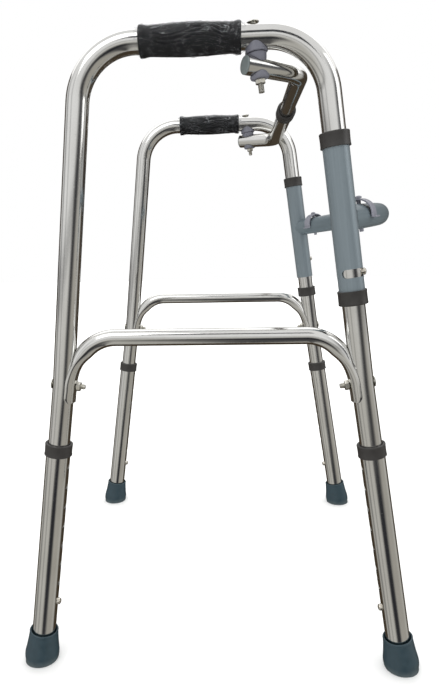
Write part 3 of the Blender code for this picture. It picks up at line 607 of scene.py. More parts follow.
def framePath(side, steps):
    frontEnd, rearEnd = legPoints(side, "front"), legPoints(side, "rear")
    start = framePlan["innerLegStart"]
    corners = [
        frontEnd[2] + (frontEnd[1] - frontEnd[2]).normalized() * start,
        frontEnd[1], frontEnd[0], rearEnd[0], rearEnd[1],
        rearEnd[2] + (rearEnd[1] - rearEnd[2]).normalized() * start,
    ]
    return bentPath(corners, [0.0, framePlan["cornerBend"], framePlan["cornerBend"], 0.0], steps)


def makeSideFrame(side):
    radius = framePlan["radius"]
    piece = tubeAlong(side + "_side_frame_tube", evenPath(framePath(side, 22), 0.03), radius)
    thicken(piece, framePlan["wall"])
    rods = []
    for end in legPlan:
        place = legPlace(side, end)
        middle = place @ (up * framePlan["buttonHoleHeight"])
        way = place.to_3x3() @ forward
        rods.append((middle + way * radius * 0.4, middle + way * radius * 1.5, framePlan["buttonHole"]))
        middle, way = braceBoltLine(side, end)
        rods.append((middle - way * radius * 1.5, middle + way * radius * 1.5, framePlan["boltHole"]))
    middle, way = foldPoint(side, sleeveButton["drop"]), sleeveButtonWay(side)
    rods.append((middle + way * radius * 0.4, middle + way * radius * 1.5, framePlan["buttonHole"]))
    rods.append((saddlePoint(side, -0.019), saddlePoint(side, 0.019), framePlan["boltHole"]))
    drill(piece, rods)
    return piece


for side, piece in bothSides(makeSideFrame("right")):
    dress(piece, side + "_frame", "tube", "polished_tube", side + "_side_frame")
print("side frames bent and drilled")


# side braces, with ends pressed into crescents that hug the legs

bracePlan = {
    "radius": 0.0098,
    "topHeight": 0.412,
    "bend": 0.048,
    "tail": 0.019,
    "hugInner": 0.0130,
    "hugOuter": 0.0152,
    "hugAngle": math.radians(70.0),
    "swell": 0.047,
    "pathStep": 0.0022,
    "cornerTrim": 0.006,
    "sides": 56,
}


def bracePath(side):
    middle = (bracePlan["hugInner"] + bracePlan["hugOuter"]) / 2
    corners = []
    for end in legPlan:
        corner, kink, foot = legPoints(side, end)
        lower, upper = (kink - foot).normalized(), (corner - kink).normalized()
        away = braceBoltLine(side, end)[1]
        upperAway = (away - upper * away.dot(upper)).normalized()
        lowerAway = (away - lower * away.dot(lower)).normalized()
        base = kink + upperAway * middle
        part = [kink - lower * bracePlan["tail"] + lowerAway * middle, kink + away * middle,
                base + upper * ((bracePlan["topHeight"] - base.z) / upper.z)]
        corners += part if end == "front" else part[::-1]
    bends = [0.0, bracePlan["bend"], bracePlan["bend"], 0.0]
    return evenPath(bentPath(corners, bends, 36), bracePlan["pathStep"])


def pressOntoLegs(piece, path, side):
    # near a leg each round section flattens and wraps round the leg
    middle = (bracePlan["hugInner"] + bracePlan["hugOuter"]) / 2
    halfThick = (bracePlan["hugOuter"] - bracePlan["hugInner"]) / 2
    walked = [0.0]
    for before, after in zip(path, path[1:]):
        walked.append(walked[-1] + (after - before).length)
    for index, corner in enumerate(piece.data.vertices):
        ring = index // bracePlan["sides"]
        centre = path[ring]
        tangent = (path[min(ring + 1, len(path) - 1)] - path[max(ring - 1, 0)]).normalized()
        normal = Vector((-tangent.z, 0.0, tangent.x))
        railCorner, kink, foot = legPoints(side, "front" if centre.x > 0.0 else "rear")
        high = centre.z >= framePlan["kinkHeight"] - bracePlan["tail"] / 2
        axis = ((railCorner - kink) if high else (kink - foot)).normalized()
        onLeg = kink + axis * (centre - kink).dot(axis)
        outward = centre - onLeg
        fromEnd = min(walked[ring], walked[-1] - walked[ring])
        rise = min(max((fromEnd - bracePlan["tail"]) / bracePlan["swell"], 0.0), 1.0)
        share = 1.0 - rise * rise * (3.0 - 2.0 * rise)
        if share > 0.0:
            offset = corner.co - centre
            angle = math.atan2(offset.dot(leftward), offset.dot(normal))
            radius = middle + halfThick * max(-1.0, min(1.0, 4.0 * math.cos(angle)))
            wrap = angle if abs(angle) <= math.pi / 2 else math.copysign(math.pi - abs(angle), angle)
            trim = 1.0 - 0.22 * max(0.0, 1.0 - fromEnd / bracePlan["cornerTrim"]) ** 2
            wrap *= bracePlan["hugAngle"] * trim / (math.pi / 2)
            hugged = onLeg + radius * (math.cos(wrap) * outward.normalized() + math.sin(wrap) * leftward)
            corner.co = corner.co.lerp(hugged, share)
        base = kink + axis * (corner.co - kink).dot(axis)
        reach = corner.co - base
        if reach.length < bracePlan["hugInner"]:
            corner.co = base + reach.normalized() * bracePlan["hugInner"]


def makeBrace(side):
    path = bracePath(side)
    piece = tubeAlong(side + "_brace_tube", path, bracePlan["radius"], bracePlan["sides"])
    pressOntoLegs(piece, path, side)
    closeEnds(piece)
    rods = []
    for end in legPlan:
        middle, way = braceBoltLine(side, end)
        rods.append((middle + way * 0.0102, middle + way * 0.0203, framePlan["boltHole"]))
    drill(piece, rods)
    return piece


for side, piece in bothSides(makeBrace("right")):
    dress(piece, side + "_frame", "tube", "polished_tube", side + "_brace")
print("braces pressed onto the legs")


# bolts and nuts

boltPlan = {"radius": 0.003, "pitch": 0.001, "thread": 0.014, "cut": 0.00035, "braceEnd": 0.0255}
nutPlan = {"radius": 0.00577, "height": 0.0045, "chamfer": 0.0008}


def boltProfile(headRadius, headHeight, length, threaded):
    # a low domed head whose underside is at zero, on a shank that runs down into its thread
    radius = boltPlan["radius"]
    profile = [(0.0, headHeight)]
    for step in range(1, 7):
        turn = math.radians(82.0) * step / 6
        profile.append((headRadius * math.sin(turn), headHeight * (0.25 + 0.75 * math.cos(turn))))
    profile += [(headRadius, headHeight * 0.2), (headRadius, 0.0), (radius, 0.0)]
    height = -length + threaded
    while height > -length + boltPlan["pitch"]:
        profile.append((radius, height))
        profile.append((radius, height - boltPlan["pitch"] * 0.25))
        profile.append((radius - boltPlan["cut"], height - boltPlan["pitch"] * 0.6))
        height -= boltPlan["pitch"]
    profile += [(radius * 0.93, -length + 0.0006), (radius * 0.72, -length), (0.0, -length)]
    return profile


def makeNut():
    # a hexagon with chamfered corners and a bore
    bpy.ops.object.select_all(action="DESELECT")
    bpy.ops.mesh.primitive_cylinder_add(vertices=6, radius=nutPlan["radius"], depth=nutPlan["height"],
                                        location=(0.0, 0.0, -nutPlan["height"] / 2))
    nut = bpy.context.object
    nut.name = "nut"
    setInPlace(nut, nut.matrix_world.copy())
    chamfer, radius, height = nutPlan["chamfer"], nutPlan["radius"], nutPlan["height"]
    slack, wide = 0.0001, radius + chamfer * 0.6
    cone = spinProfile("nut_cone", [
        (0.0, slack), (radius - chamfer, slack), (wide, -chamfer),
        (wide, chamfer - height), (radius - chamfer, -height - slack), (0.0, -height - slack)], 48)
    cutWith(nut, cone, "INTERSECT")
    drill(nut, [(up * 0.002, up * (-height - 0.002), boltPlan["radius"] + seatGap)])
    softenEdges(nut, 0.00012, 1, 30.0)
    return nut


nutPattern = makeNut()
braceSeat = framePlan["radius"] + seatGap
braceBoltPattern = spinProfile(
    "brace_bolt", boltProfile(0.006, 0.0018, braceSeat + boltPlan["braceEnd"], boltPlan["thread"]), 32)
for side in sideSign:
    for end in legPlan:
        name = side + "_" + end
        middle, way = braceBoltLine(side, end)
        place = axisPlace(middle - way * braceSeat, -way, leftward)
        bolt = copyPiece(braceBoltPattern, name + "_brace_bolt_threaded", place)
        dress(bolt, side + "_frame", "zinc", "zinc_steel", name + "_brace_bolt")
        nutSeat = middle + way * (bracePlan["hugOuter"] + seatGap)
        nut = copyPiece(nutPattern, name + "_brace_nut_hex", axisPlace(nutSeat, -way, leftward))
        dress(nut, side + "_frame", "zinc", "zinc_steel", name + "_brace_nut")
print("brace bolts and nuts in place")


# snap clips: a bent spring strip with a domed button

clipPlan = {
    "strip": 0.0007,
    "width": 0.007,
    "arm": 0.0100,
    "back": 0.0075,
    "apex": 0.038,
    "tail": 0.007,
    "button": 0.0039,
    "dome": 0.0022,
}


def ribbonAlong(name, path, width, thickness):
    # a strip of even thickness along a path in XZ, its width along Y
    bpy.ops.object.select_all(action="DESELECT")
    bpy.ops.curve.primitive_nurbs_path_add()
    piece = bpy.context.object
    piece.name = name
    line = piece.data
    line.dimensions = "2D"
    line.fill_mode = "NONE"
    line.splines.clear()
    run = line.splines.new("POLY")
    run.points.add(len(path) - 1)
    for knot, point in zip(run.points, path):
        knot.co = (point[0], point[1], 0.0, 1.0)
    line.extrude = width / 2
    bpy.ops.object.convert(target="MESH")
    setInPlace(piece, Matrix.Rotation(math.pi / 2, 4, "X"))
    closeUp(piece)
    applyModifier(piece, "SOLIDIFY", thickness=thickness, offset=0.0, use_even_offset=True)
    return piece


def makeClip(name, reach):
    arm, tail = clipPlan["arm"], clipPlan["tail"]
    corners = [Vector((arm, -tail, 0.0)), Vector((arm, tail, 0.0)), Vector((0.0, clipPlan["apex"], 0.0)),
               Vector((-clipPlan["back"], -tail, 0.0))]
    path = bentPath(corners, [tail / 2, clipPlan["strip"] * 2], 8)
    strip = ribbonAlong(name, path, clipPlan["width"], clipPlan["strip"])
    button, dome = clipPlan["button"], clipPlan["dome"]
    foot = arm - clipPlan["strip"] * 0.25
    profile = [(0.0, foot), (button, foot), (button, reach - dome)]
    for step in range(1, 9):
        turn = math.radians(90.0) * step / 8
        profile.append((button * math.cos(turn), reach - dome + dome * math.sin(turn)))
    profile[-1] = (0.0, reach)
    knob = spinProfile(name + "_knob", profile, 40)
    setInPlace(knob, Matrix.Rotation(math.pi / 2, 4, "Y"))
    pick(knob, strip)
    bpy.ops.object.join()
    return strip


legClipPattern = makeClip("leg_clip", 0.0185)
sleeveClipPattern = makeClip("sleeve_clip", sleeveButton["reach"])
for side in sideSign:
    for end in legPlan:
        name = side + "_" + end
        place = legPlace(side, end) @ lift(framePlan["buttonHoleHeight"])
        clip = copyPiece(legClipPattern, name + "_leg_snap_clip", place)
        dress(clip, name + "_clip", "spring", "spring_steel", name + "_leg_clip")
    place = axisPlace(foldPoint(side, sleeveButton["drop"]), foldDirection, sleeveButtonWay(side))
    clip = copyPiece(sleeveClipPattern, side + "_sleeve_snap_clip", place)
    dress(clip, side + "_sleeve_clip", "spring", "spring_steel", side + "_sleeve_clip")
print("snap clips in place")


# lower legs, their collars and feet

lowerLegPlan = {
    "radius": 0.0143,
    "wall": 0.0012,
    "bottom": 0.0083,
    "top": 0.2860,
    "firstHole": 0.082,
    "pitch": 0.0254,
    "holes": 8,
    "hole": 0.0042,
}
collarPlan = {"wall": 0.0017, "lip": 0.0025, "edge": 0.0009, "legLength": 0.0145, "sleeveLength": 0.0160}
footPlan = {
    "height": 0.0410,
    "floor": 0.008,
    "pocket": 0.0146,
    "mouth": 0.0157,
    "rim": 0.0176,
    "sole": 0.0198,
    # radius at height, from under the rim bead down the barrel to the sole
    "barrel": ((0.01765, 0.0375), (0.0181, 0.0325), (0.0187, 0.0270), (0.0194, 0.0215), (0.0202, 0.0165),
               (0.0208, 0.0130), (0.02105, 0.0105), (0.02105, 0.0070), (0.0208, 0.0044), (0.0203, 0.0022),
               (0.0198, 0.0)),
    # width and depth of each step inward across the sole
    "groove": ((0.0045, 0.0), (0.0006, -0.0012), (0.0032, 0.0), (0.0006, 0.0012)),
}


def makeLowerLeg():
    radius = lowerLegPlan["radius"]
    piece = tubeAlong("lower_leg", [up * lowerLegPlan["bottom"], up * lowerLegPlan["top"]], radius)
    thicken(piece, lowerLegPlan["wall"])
    rods = []
    for index in range(lowerLegPlan["holes"]):
        middle = up * (lowerLegPlan["firstHole"] + lowerLegPlan["pitch"] * index)
        rods.append((middle + forward * radius * 0.6, middle + forward * radius * 1.4, lowerLegPlan["hole"]))
    drill(piece, rods)
    return piece


def collarProfile(tubeRadius, lipRadius, length):
    # a cup over a tube's end, its lip at the top closing in on the thinner tube, its mouth a little flared
    bore = tubeRadius + seatGap
    outside, edge = bore + collarPlan["wall"], collarPlan["edge"]
    lip = length - collarPlan["lip"]
    return [
        (bore, 0.0), (outside - edge * 0.4, 0.0), (outside, edge * 0.35), (outside, edge * 1.6),
        (outside - 0.00025, edge * 2.6), (outside - 0.0003, length * 0.5),
        (outside - 0.0001, length - edge * 2.2), (outside, length - edge * 1.5),
        (outside - edge * 0.12, length - edge * 0.7),
        (outside - edge * 0.5, length - edge * 0.2), (outside - edge, length),
        (lipRadius + 0.0003, length), (lipRadius, length - 0.0003), (lipRadius, lip), (bore, lip),
    ]


def footProfile():
    rim, height, mouth, pocket = (footPlan[key] for key in ("rim", "height", "mouth", "pocket"))
    profile = [
        (pocket, height - 0.0060), (mouth, height - 0.0012), (mouth + 0.0004, height),
        (rim - 0.0008, height), (rim - 0.0002, height - 0.0004), (rim + 0.0002, height - 0.0010),
        (rim + 0.00015, height - 0.0018), (rim - 0.0001, height - 0.0024)]
    profile += footPlan["barrel"]
    deep, inside = -0.008, footPlan["floor"]
    return profile + [(footPlan["sole"], deep), (0.0, deep), (0.0, inside), (pocket, inside)]


def finishSole(piece):
    # the leaning foot is cut flat on the floor, and a ring groove is sunk into its sole
    startEdit(piece)
    bpy.ops.mesh.bisect(plane_co=(0.0, 0.0, 0.0), plane_no=(0.0, 0.0, 1.0), use_fill=True, clear_inner=True)
    bpy.ops.mesh.select_mode(type="FACE")
    bpy.ops.mesh.select_all(action="DESELECT")
    shape = bmesh.from_edit_mesh(piece.data)
    for face in shape.faces:
        face.select_set(face.normal.z < -0.99 and face.calc_center_median().z < 0.0001)
    bmesh.update_edit_mesh(piece.data)
    for width, depth in footPlan["groove"]:
        bpy.ops.mesh.inset(thickness=width, depth=depth)
    bpy.ops.mesh.select_all(action="SELECT")
    bpy.ops.mesh.normals_make_consistent(inside=False)
    endEdit()


legPattern = makeLowerLeg()
legBore = lowerLegPlan["radius"] - lowerLegPlan["wall"]
legCollarPattern = spinProfile(
    "leg_collar", collarProfile(lowerLegPlan["radius"], legBore, collarPlan["legLength"]))
footPattern = spinProfile("foot", footProfile())
for side in sideSign:
    for end in legPlan:
        name = side + "_" + end
        place = legPlace(side, end)
        leg = copyPiece(legPattern, name + "_lower_leg_tube", place)
        dress(leg, name + "_leg", "tube", "leg_tube", name + "_lower_leg")
        rise = lowerLegPlan["top"] + seatGap + collarPlan["lip"] - collarPlan["legLength"]
        collar = copyPiece(legCollarPattern, name + "_leg_collar_moulded", place @ lift(rise))
        dress(collar, name + "_leg", "collar", "black_plastic", name + "_leg_collar")
        foot = copyPiece(footPattern, name + "_rubber_foot", place)
        finishSole(foot)
        dress(foot, name + "_leg", "rubber", "rubber", name + "_foot")
print("lower legs, collars and feet in place")


# hinge sleeves and their collars

sleevePlan = {
    "radius": 0.0143,
    "wall": 0.0012,
    "drop": 0.1015,
    "length": 0.1798,
    "slotDrop": 0.2490,
    "slotHeight": 0.0095,
    "slotStart": math.radians(-10.0),
    "slotEnd": math.radians(137.0),
    "slippedDrop": 0.30112,
}


def makeSleeve():
    # drawn for the right sleeve: the slot's two round ends are drilled, then the strip between is cut out
    top, radius = -sleevePlan["drop"], sleevePlan["radius"]
    path = [up * (top - sleevePlan["length"]), up * top]
    piece = tubeAlong("right_hinge_sleeve", evenPath(path, 0.015), radius)
    thicken(piece, sleevePlan["wall"])
    half, reach = sleevePlan["slotHeight"] / 2, radius * 1.3
    ease = math.asin(half / radius)
    turns = [-(sleevePlan["slotStart"] + ease), -(sleevePlan["slotEnd"] - ease)]
    middle = up * -sleevePlan["slotDrop"]
    ways = [Vector((math.cos(turn), math.sin(turn), 0.0)) for turn in turns]
    drill(piece, [(middle + way * reach * 0.3, middle + way * reach, half) for way in ways], 40)
    bpy.ops.object.select_all(action="DESELECT")
    bpy.ops.mesh.primitive_cylinder_add(vertices=96, radius=reach, depth=half * 2)
    wedge = bpy.context.object
    startEdit(wedge)
    for turn, sign in zip(turns, (1.0, -1.0)):
        bpy.ops.mesh.select_all(action="SELECT")
        cutWay = (math.sin(turn) * sign, -math.cos(turn) * sign, 0.0)
        bpy.ops.mesh.bisect(plane_co=(0.0, 0.0, 0.0), plane_no=cutWay, use_fill=True, clear_inner=True)
    endEdit()
    closeUp(wedge)
    cutWith(piece, setInPlace(wedge, Matrix.Translation(middle)))
    return setInPlace(piece, foldPlace("right"))


bothSleeves = bothSides(makeSleeve())
sleeveBore = sleevePlan["radius"] - sleevePlan["wall"]
topCollar, slippedCollar = (
    spinProfile(name, collarProfile(sleevePlan["radius"], lip, collarPlan["sleeveLength"]))
    for name, lip in (("sleeve_collar", sleeveBore), ("slipped_collar", framePlan["radius"] + seatGap)))
cover = seatGap + collarPlan["lip"]
turnedOver = Matrix.Rotation(math.pi, 4, "X")
for side, sleeve in bothSleeves:
    dress(sleeve, "front_crossbar", "sleeve", "sleeve", side + "_sleeve")
    place = foldPlace(side) @ lift(cover - sleevePlan["drop"] - collarPlan["sleeveLength"])
    collar = copyPiece(topCollar, side + "_sleeve_top_collar_moulded", place)
    dress(collar, "front_crossbar", "collar", "black_plastic", side + "_sleeve_top_collar")
rise = collarPlan["sleeveLength"] - cover - sleevePlan["drop"] - sleevePlan["length"]
place = foldPlace("right") @ lift(rise)
collar = copyPiece(topCollar, "right_sleeve_bottom_collar_moulded", place @ turnedOver)
dress(collar, "front_crossbar", "collar", "black_plastic", "right_sleeve_bottom_collar")
# the left bottom collar has slipped down its leg, so it turns with the side frame
place = foldPlace("left") @ lift(-sleevePlan["slippedDrop"])
collar = copyPiece(slippedCollar, "left_sleeve_bottom_collar_moulded", place @ turnedOver)
dress(collar, "left_frame", "collar", "black_plastic", "left_sleeve_bottom_collar")
print("hinge sleeves slotted and collared")


# bowed front crossbar and its release pads

crossbarPlan = {"radius": 0.0140, "wall": 0.0015, "drop": 0.1896, "bow": 0.0807, "steps": 72}
padPlan = {
    "y": 0.196,
    "width": 0.014,
    "strip": 0.0018,
    "sideGap": 0.0012,
    "rise": 0.0029,
    "lip": 0.0036,
    "legDrop": 0.0035,
    "pin": 0.0025,
    "head": 0.004,
    "headHeight": 0.003,
    "pinEnd": 0.0035,
}
crossbarBend = (framePlan["planeY"] ** 2 + crossbarPlan["bow"] ** 2) / (2 * crossbarPlan["bow"])
crossbarCentre = ((foldPoint("right", crossbarPlan["drop"]) + foldPoint("left", crossbarPlan["drop"])) / 2
                  + foldForward * (crossbarPlan["bow"] - crossbarBend))


def onCrossbar(angle):
    way = foldForward * math.cos(angle) + leftward * math.sin(angle)
    return crossbarCentre + way * crossbarBend, way


def padPlace(side):
    point, way = onCrossbar(sideSign[side] * math.asin(padPlan["y"] / crossbarBend))
    return axisPlace(point, foldDirection, way)


def makeCrossbar():
    endAngle = math.asin(framePlan["planeY"] / crossbarBend)
    steps = crossbarPlan["steps"]
    path = [onCrossbar(endAngle * (2.0 * step / steps - 1.0))[0] for step in range(steps + 1)]
    piece = tubeAlong("front_crossbar_tube", path, crossbarPlan["radius"])
    thicken(piece, crossbarPlan["wall"])
    ends, pins = [], []
    for side in sideSign:
        middle, reach = foldPoint(side, crossbarPlan["drop"]), foldDirection * 0.03
        ends.append((middle - reach, middle + reach, sleevePlan["radius"] + seatGap))
        middle, reach = padPlace(side).translation, foldDirection * 0.02
        pins.append((middle - reach, middle + reach, padPlan["pin"] + seatGap))
    drill(piece, ends, 64)
    drill(piece, pins)
    return piece


def makeReleasePad():
    strip = padPlan["strip"]
    half = crossbarPlan["radius"] + padPlan["sideGap"] + strip / 2
    lipEnd = half + strip / 2 + padPlan["lip"]
    foot = strip / 2 - padPlan["legDrop"]
    path = [(lipEnd, foot), (half + 0.0012, foot), (half + 0.0004, foot + 0.0003), (half, foot + 0.0011)]
    steps = 28
    for step in range(steps + 1):
        angle = math.pi * step / steps
        path.append((math.cos(angle) * half, padPlan["rise"] + math.sin(angle) * half))
    path += [(-x, z) for x, z in path[3::-1]]
    pad = ribbonAlong("release_pad", path, padPlan["width"], strip)
    softenEdges(pad, 0.0006, 3, 50.0)
    crown = padPlan["rise"] + half
    drill(pad, [(up * (crown - 0.004), up * (crown + 0.004), padPlan["pin"] + seatGap)])
    return pad


def makeReleasePin():
    crown = padPlan["rise"] + crossbarPlan["radius"] + padPlan["sideGap"] + padPlan["strip"]
    foot = crown + seatGap
    end = -crossbarPlan["radius"] - padPlan["pinEnd"]
    rim = 0.0010
    dome = padPlan["headHeight"] - rim
    profile = [(0.0, foot + padPlan["headHeight"])]
    for step in range(1, 8):
        turn = math.radians(90.0) * step / 7
        profile.append((padPlan["head"] * math.sin(turn), foot + rim + dome * math.cos(turn)))
    profile += [(padPlan["head"], foot), (padPlan["pin"], foot), (padPlan["pin"], end + 0.0008),
                (padPlan["pin"] * 0.7, end), (0.0, end)]
    return spinProfile("release_pin", profile, 40)


crossbar = makeCrossbar()
dress(crossbar, "front_crossbar", "crossbar", "crossbar", "front_crossbar")
padPattern = makeReleasePad()
pinPattern = makeReleasePin()
for side in sideSign:
    pad = copyPiece(padPattern, side + "_release_pad_strap", padPlace(side))
    dress(pad, side + "_release", "pad", "pad_plastic", side + "_release_pad")
    pin = copyPiece(pinPattern, side + "_release_pin_domed", padPlace(side))
    dress(pin, side + "_release", "pad", "spring_steel", side + "_release_pin")
print("crossbar and release pads in place")


# hand grips and the film round them

gripPlan = {
    "middleX": -0.018,
    "half": 0.0535,
    "bore": 0.0130,
    "end": 0.0162,
    "waist": 0.0150,
    "belly": 0.0166,
    "flange": 0.006,
    "edge": 0.001,
    "rings": 170,
    "steps": 176,
    "ridgeDepth": 0.0013,
    "ridgeWave": 0.0042,
}


def gripRadius(height):
    # the outline of the grip at a place along it, from its middle
    half, flange = gripPlan["half"], gripPlan["flange"]
    reach = abs(height)
    if reach > half - flange * 0.6:
        return gripPlan["end"] - gripPlan["edge"] * max(0.0, 1.0 - (half - reach) / gripPlan["edge"]) ** 2
    waist = gripPlan["waist"]
    if reach > half - flange * 1.6:
        share = (reach - half + flange * 1.6) / flange
        return waist + (gripPlan["end"] - waist) * share * share * (3.0 - 2.0 * share)
    share = 0.5 + 0.5 * height / (half - flange * 1.6)
    return waist + (gripPlan["belly"] - waist) * max(0.0, math.sin(math.pi * share)) ** 1.3


def ridgeDepthAt(height, angle):
    # three wavy channels run along each side of the grip, and fade out before its ends
    reach = gripPlan["half"] - gripPlan["flange"] * 2.2
    if abs(height) > reach:
        return 0.0
    fade = min(1.0, (reach - abs(height)) / 0.007)
    side = abs(math.sin(angle))  # 1 at the sides, 0 at the top and bottom
    if side < 0.35:
        return 0.0
    across = math.asin(max(-1.0, min(1.0, math.cos(angle)))) * gripPlan["belly"]
    wave = gripPlan["ridgeWave"] * math.sin(height / reach * math.pi * 1.15 + 0.4)
    depth = 0.0
    for offset in (-0.0046, 0.0, 0.0046):
        apart = abs(across - wave - offset)
        depth = max(depth, math.exp(-(apart / 0.0011) ** 2))
    return gripPlan["ridgeDepth"] * depth * fade * min(1.0, (side - 0.35) / 0.3)


def makeGrip():
    half, edge = gripPlan["half"], gripPlan["edge"]
    profile = [(gripPlan["bore"], -half)]
    for ring in range(gripPlan["rings"] + 1):
        height = half * (2.0 * ring / gripPlan["rings"] - 1.0)
        profile.append((gripRadius(height), height))
    profile.append((gripPlan["bore"], half))
    grip = spinProfile("right_grip_moulded", profile, gripPlan["steps"])
    for corner in grip.data.vertices:
        radius = math.hypot(corner.co.x, corner.co.y)
        if radius < gripPlan["bore"] + 0.0001:
            continue
        angle = math.atan2(corner.co.y, corner.co.x)
        depth = ridgeDepthAt(corner.co.z, angle)
        corner.co.x *= 1.0 - depth / radius
        corner.co.y *= 1.0 - depth / radius
    return grip


wrapPlan = {
    "loose": 0.0045,
    "off": 0.00025,
    "thick": 0.00012,
    "pucker": 0.0011,
    "crumples": ((1.0, 1.0), (0.5, 2.3), (0.25, 4.9)),  # share and scale of each size of crumple
    "rings": 150,
    "steps": 180,
}


def makeWrap():
    # the film lies over the grip in lengthwise puckers and is gathered on the tube past each end
    half, bare = gripPlan["half"], gripPlan["bore"] + 0.0004
    loose, rings = wrapPlan["loose"], wrapPlan["rings"]
    profile = []
    for ring in range(rings + 1):
        height = (half + loose) * (2.0 * ring / rings - 1.0)
        over = abs(height) - half
        radius = gripRadius(max(-half, min(half, height))) + wrapPlan["off"]
        if over > 0.0:
            radius = bare + (gripPlan["end"] - 0.0004 - bare) * (1.0 - min(1.0, over / (loose * 0.6))) ** 2
        profile.append((radius, height))
    inner = [(radius - wrapPlan["thick"], height) for radius, height in profile[::-1]]
    wrap = spinProfile("right_grip_wrap", profile + inner, wrapPlan["steps"])
    for corner in wrap.data.vertices:
        radius = math.hypot(corner.co.x, corner.co.y)
        angle = math.atan2(corner.co.y, corner.co.x)
        spot = Vector((math.cos(angle) * 4.6, math.sin(angle) * 4.6, corner.co.z * 62.0 + angle * 0.8))
        crumple = sum(share * abs(noise.noise(spot * scale)) for share, scale in wrapPlan["crumples"])
        swell = wrapPlan["pucker"] * (1.0 - min(1.0, crumple * 2.2)) ** 2
        corner.co.x *= 1.0 + swell / radius
        corner.co.y *= 1.0 + swell / radius
    return wrap


gripMiddle = Vector((gripPlan["middleX"], -framePlan["planeY"], framePlan["railHeight"]))
gripPlace = axisPlace(gripMiddle, forward, up)
rightGrip = setInPlace(makeGrip(), gripPlace)
rightWrap = setInPlace(makeWrap(), gripPlace)
for side, grip in bothSides(rightGrip):
    dress(grip, side + "_frame", "grip", "grip_foam", side + "_grip")
for side, wrap in bothSides(rightWrap):
    dress(wrap, side + "_frame", "wrap", "grip_foam")
print("hand grips wrapped")


# top bar in two halves, its end caps, collar and guide plug

capPlan = {"thick": 0.0018, "plug": 0.008}
barCollarPlan = {"length": 0.028, "wall": 0.0017}


def makeBarHalf(side):
    saddle = saddlePoint(side, barPlan["saddleDrop"])
    tail = saddle + armDirection(side) * barPlan["tail"]
    corners = [tail, barCorner(side), onBar(barPlan["endY"][side])]
    path = evenPath(bentPath(corners, [barPlan["bend"]], 22), 0.02)
    radius = barPlan["radius"][side]
    piece = tubeAlong(side + "_bar_half_tube", path, radius, 44)
    thicken(piece, barPlan["wall"])
    reach = foldDirection * radius * 1.5
    drill(piece, [(saddle + reach, saddle - reach, framePlan["boltHole"])])
    return piece


def makeEndCap(side):
    radius = barPlan["radius"][side]
    bore = radius - barPlan["wall"] - seatGap
    thick = capPlan["thick"]
    profile = [
        (0.0, thick), (radius * 0.55, thick * 0.97), (radius * 0.82, thick * 0.86),
        (radius * 0.94, thick * 0.68), (radius * 0.99, thick * 0.42), (radius, thick * 0.2),
        (radius, 0.0), (bore, 0.0), (bore - 0.0004, -capPlan["plug"]), (0.0, -capPlan["plug"]),
    ]
    cap = spinProfile(side + "_bar_end_cap_moulded", profile, 48)
    tail = saddlePoint(side, barPlan["saddleDrop"]) + armDirection(side) * (barPlan["tail"] + seatGap)
    return setInPlace(cap, axisPlace(tail, armDirection(side), up))


def makeBarCollar():
    # the collar at the outer half's mouth: a cup with two shallow grooves and a lip round the inner half
    bore = barPlan["radius"]["left"] + seatGap
    outside = bore + barCollarPlan["wall"]
    length, lip = barCollarPlan["length"], barPlan["radius"]["right"] + seatGap
    profile = [(bore, 0.0), (outside - 0.0004, 0.0), (outside, 0.0004)]
    for middle in (length * 0.36, length * 0.68):
        profile += [(outside, middle - 0.0010), (outside - 0.0006, middle - 0.0006),
                    (outside - 0.0006, middle + 0.0006), (outside, middle + 0.0010)]
    profile += [(outside, length - 0.0012), (outside - 0.0003, length - 0.0004), (outside - 0.0011, length),
                (lip, length), (lip, length - collarPlan["lip"]), (bore, length - collarPlan["lip"])]
    collar = spinProfile("bar_collar_moulded", profile, 56)
    mouth = onBar(length - collarPlan["lip"] - seatGap + barPlan["endY"]["left"])
    return setInPlace(collar, axisPlace(mouth, -leftward, up))


def makeGuidePlug():
    # a short bush in the end of the inner half, with a rounded nose
    outside = barPlan["radius"]["right"] - barPlan["wall"] - 0.0004
    profile = [(0.003, -0.020), (outside, -0.020), (outside, -0.0012), (outside - 0.0004, -0.0006),
               (outside - 0.001, -0.0003), (0.003, -0.0003)]
    plug = spinProfile("bar_guide_plug_moulded", profile, 40)
    return setInPlace(plug, axisPlace(onBar(barPlan["endY"]["right"]), leftward, up))


for side in sideSign:
    dress(makeBarHalf(side), side + "_bar", "tube", "polished_tube", side + "_bar_half")
    dress(makeEndCap(side), side + "_bar", "cap", "end_cap", side + "_bar_end_cap")
dress(makeBarCollar(), "left_bar", "collar", "black_plastic", "bar_collar")
dress(makeGuidePlug(), "bar_plug", "collar", "black_plastic", "bar_guide_plug")
print("top bar made")


# saddles and the saddle bolts

saddlePlan = {
    "bore": 0.0033,
    "top": 0.0114,
    "rim": 0.0120,
    "rimTop": 0.0140,
    "swivel": 0.0160,
    "gap": {"left": 0.0003, "right": 0.0005},
    "low": 0.0102,
    "foot": 0.0095,
    "reach": 0.0045,
    "footThick": 0.0022,
    "boltEnd": 0.0560,
    "head": 0.0065,
    "headHeight": 0.0018,
    "thread": 0.018,
    "edge": 0.00025,
}


def saddlePlace(side):
    return axisPlace(saddlePoint(side, 0.0), foldDirection, forward)


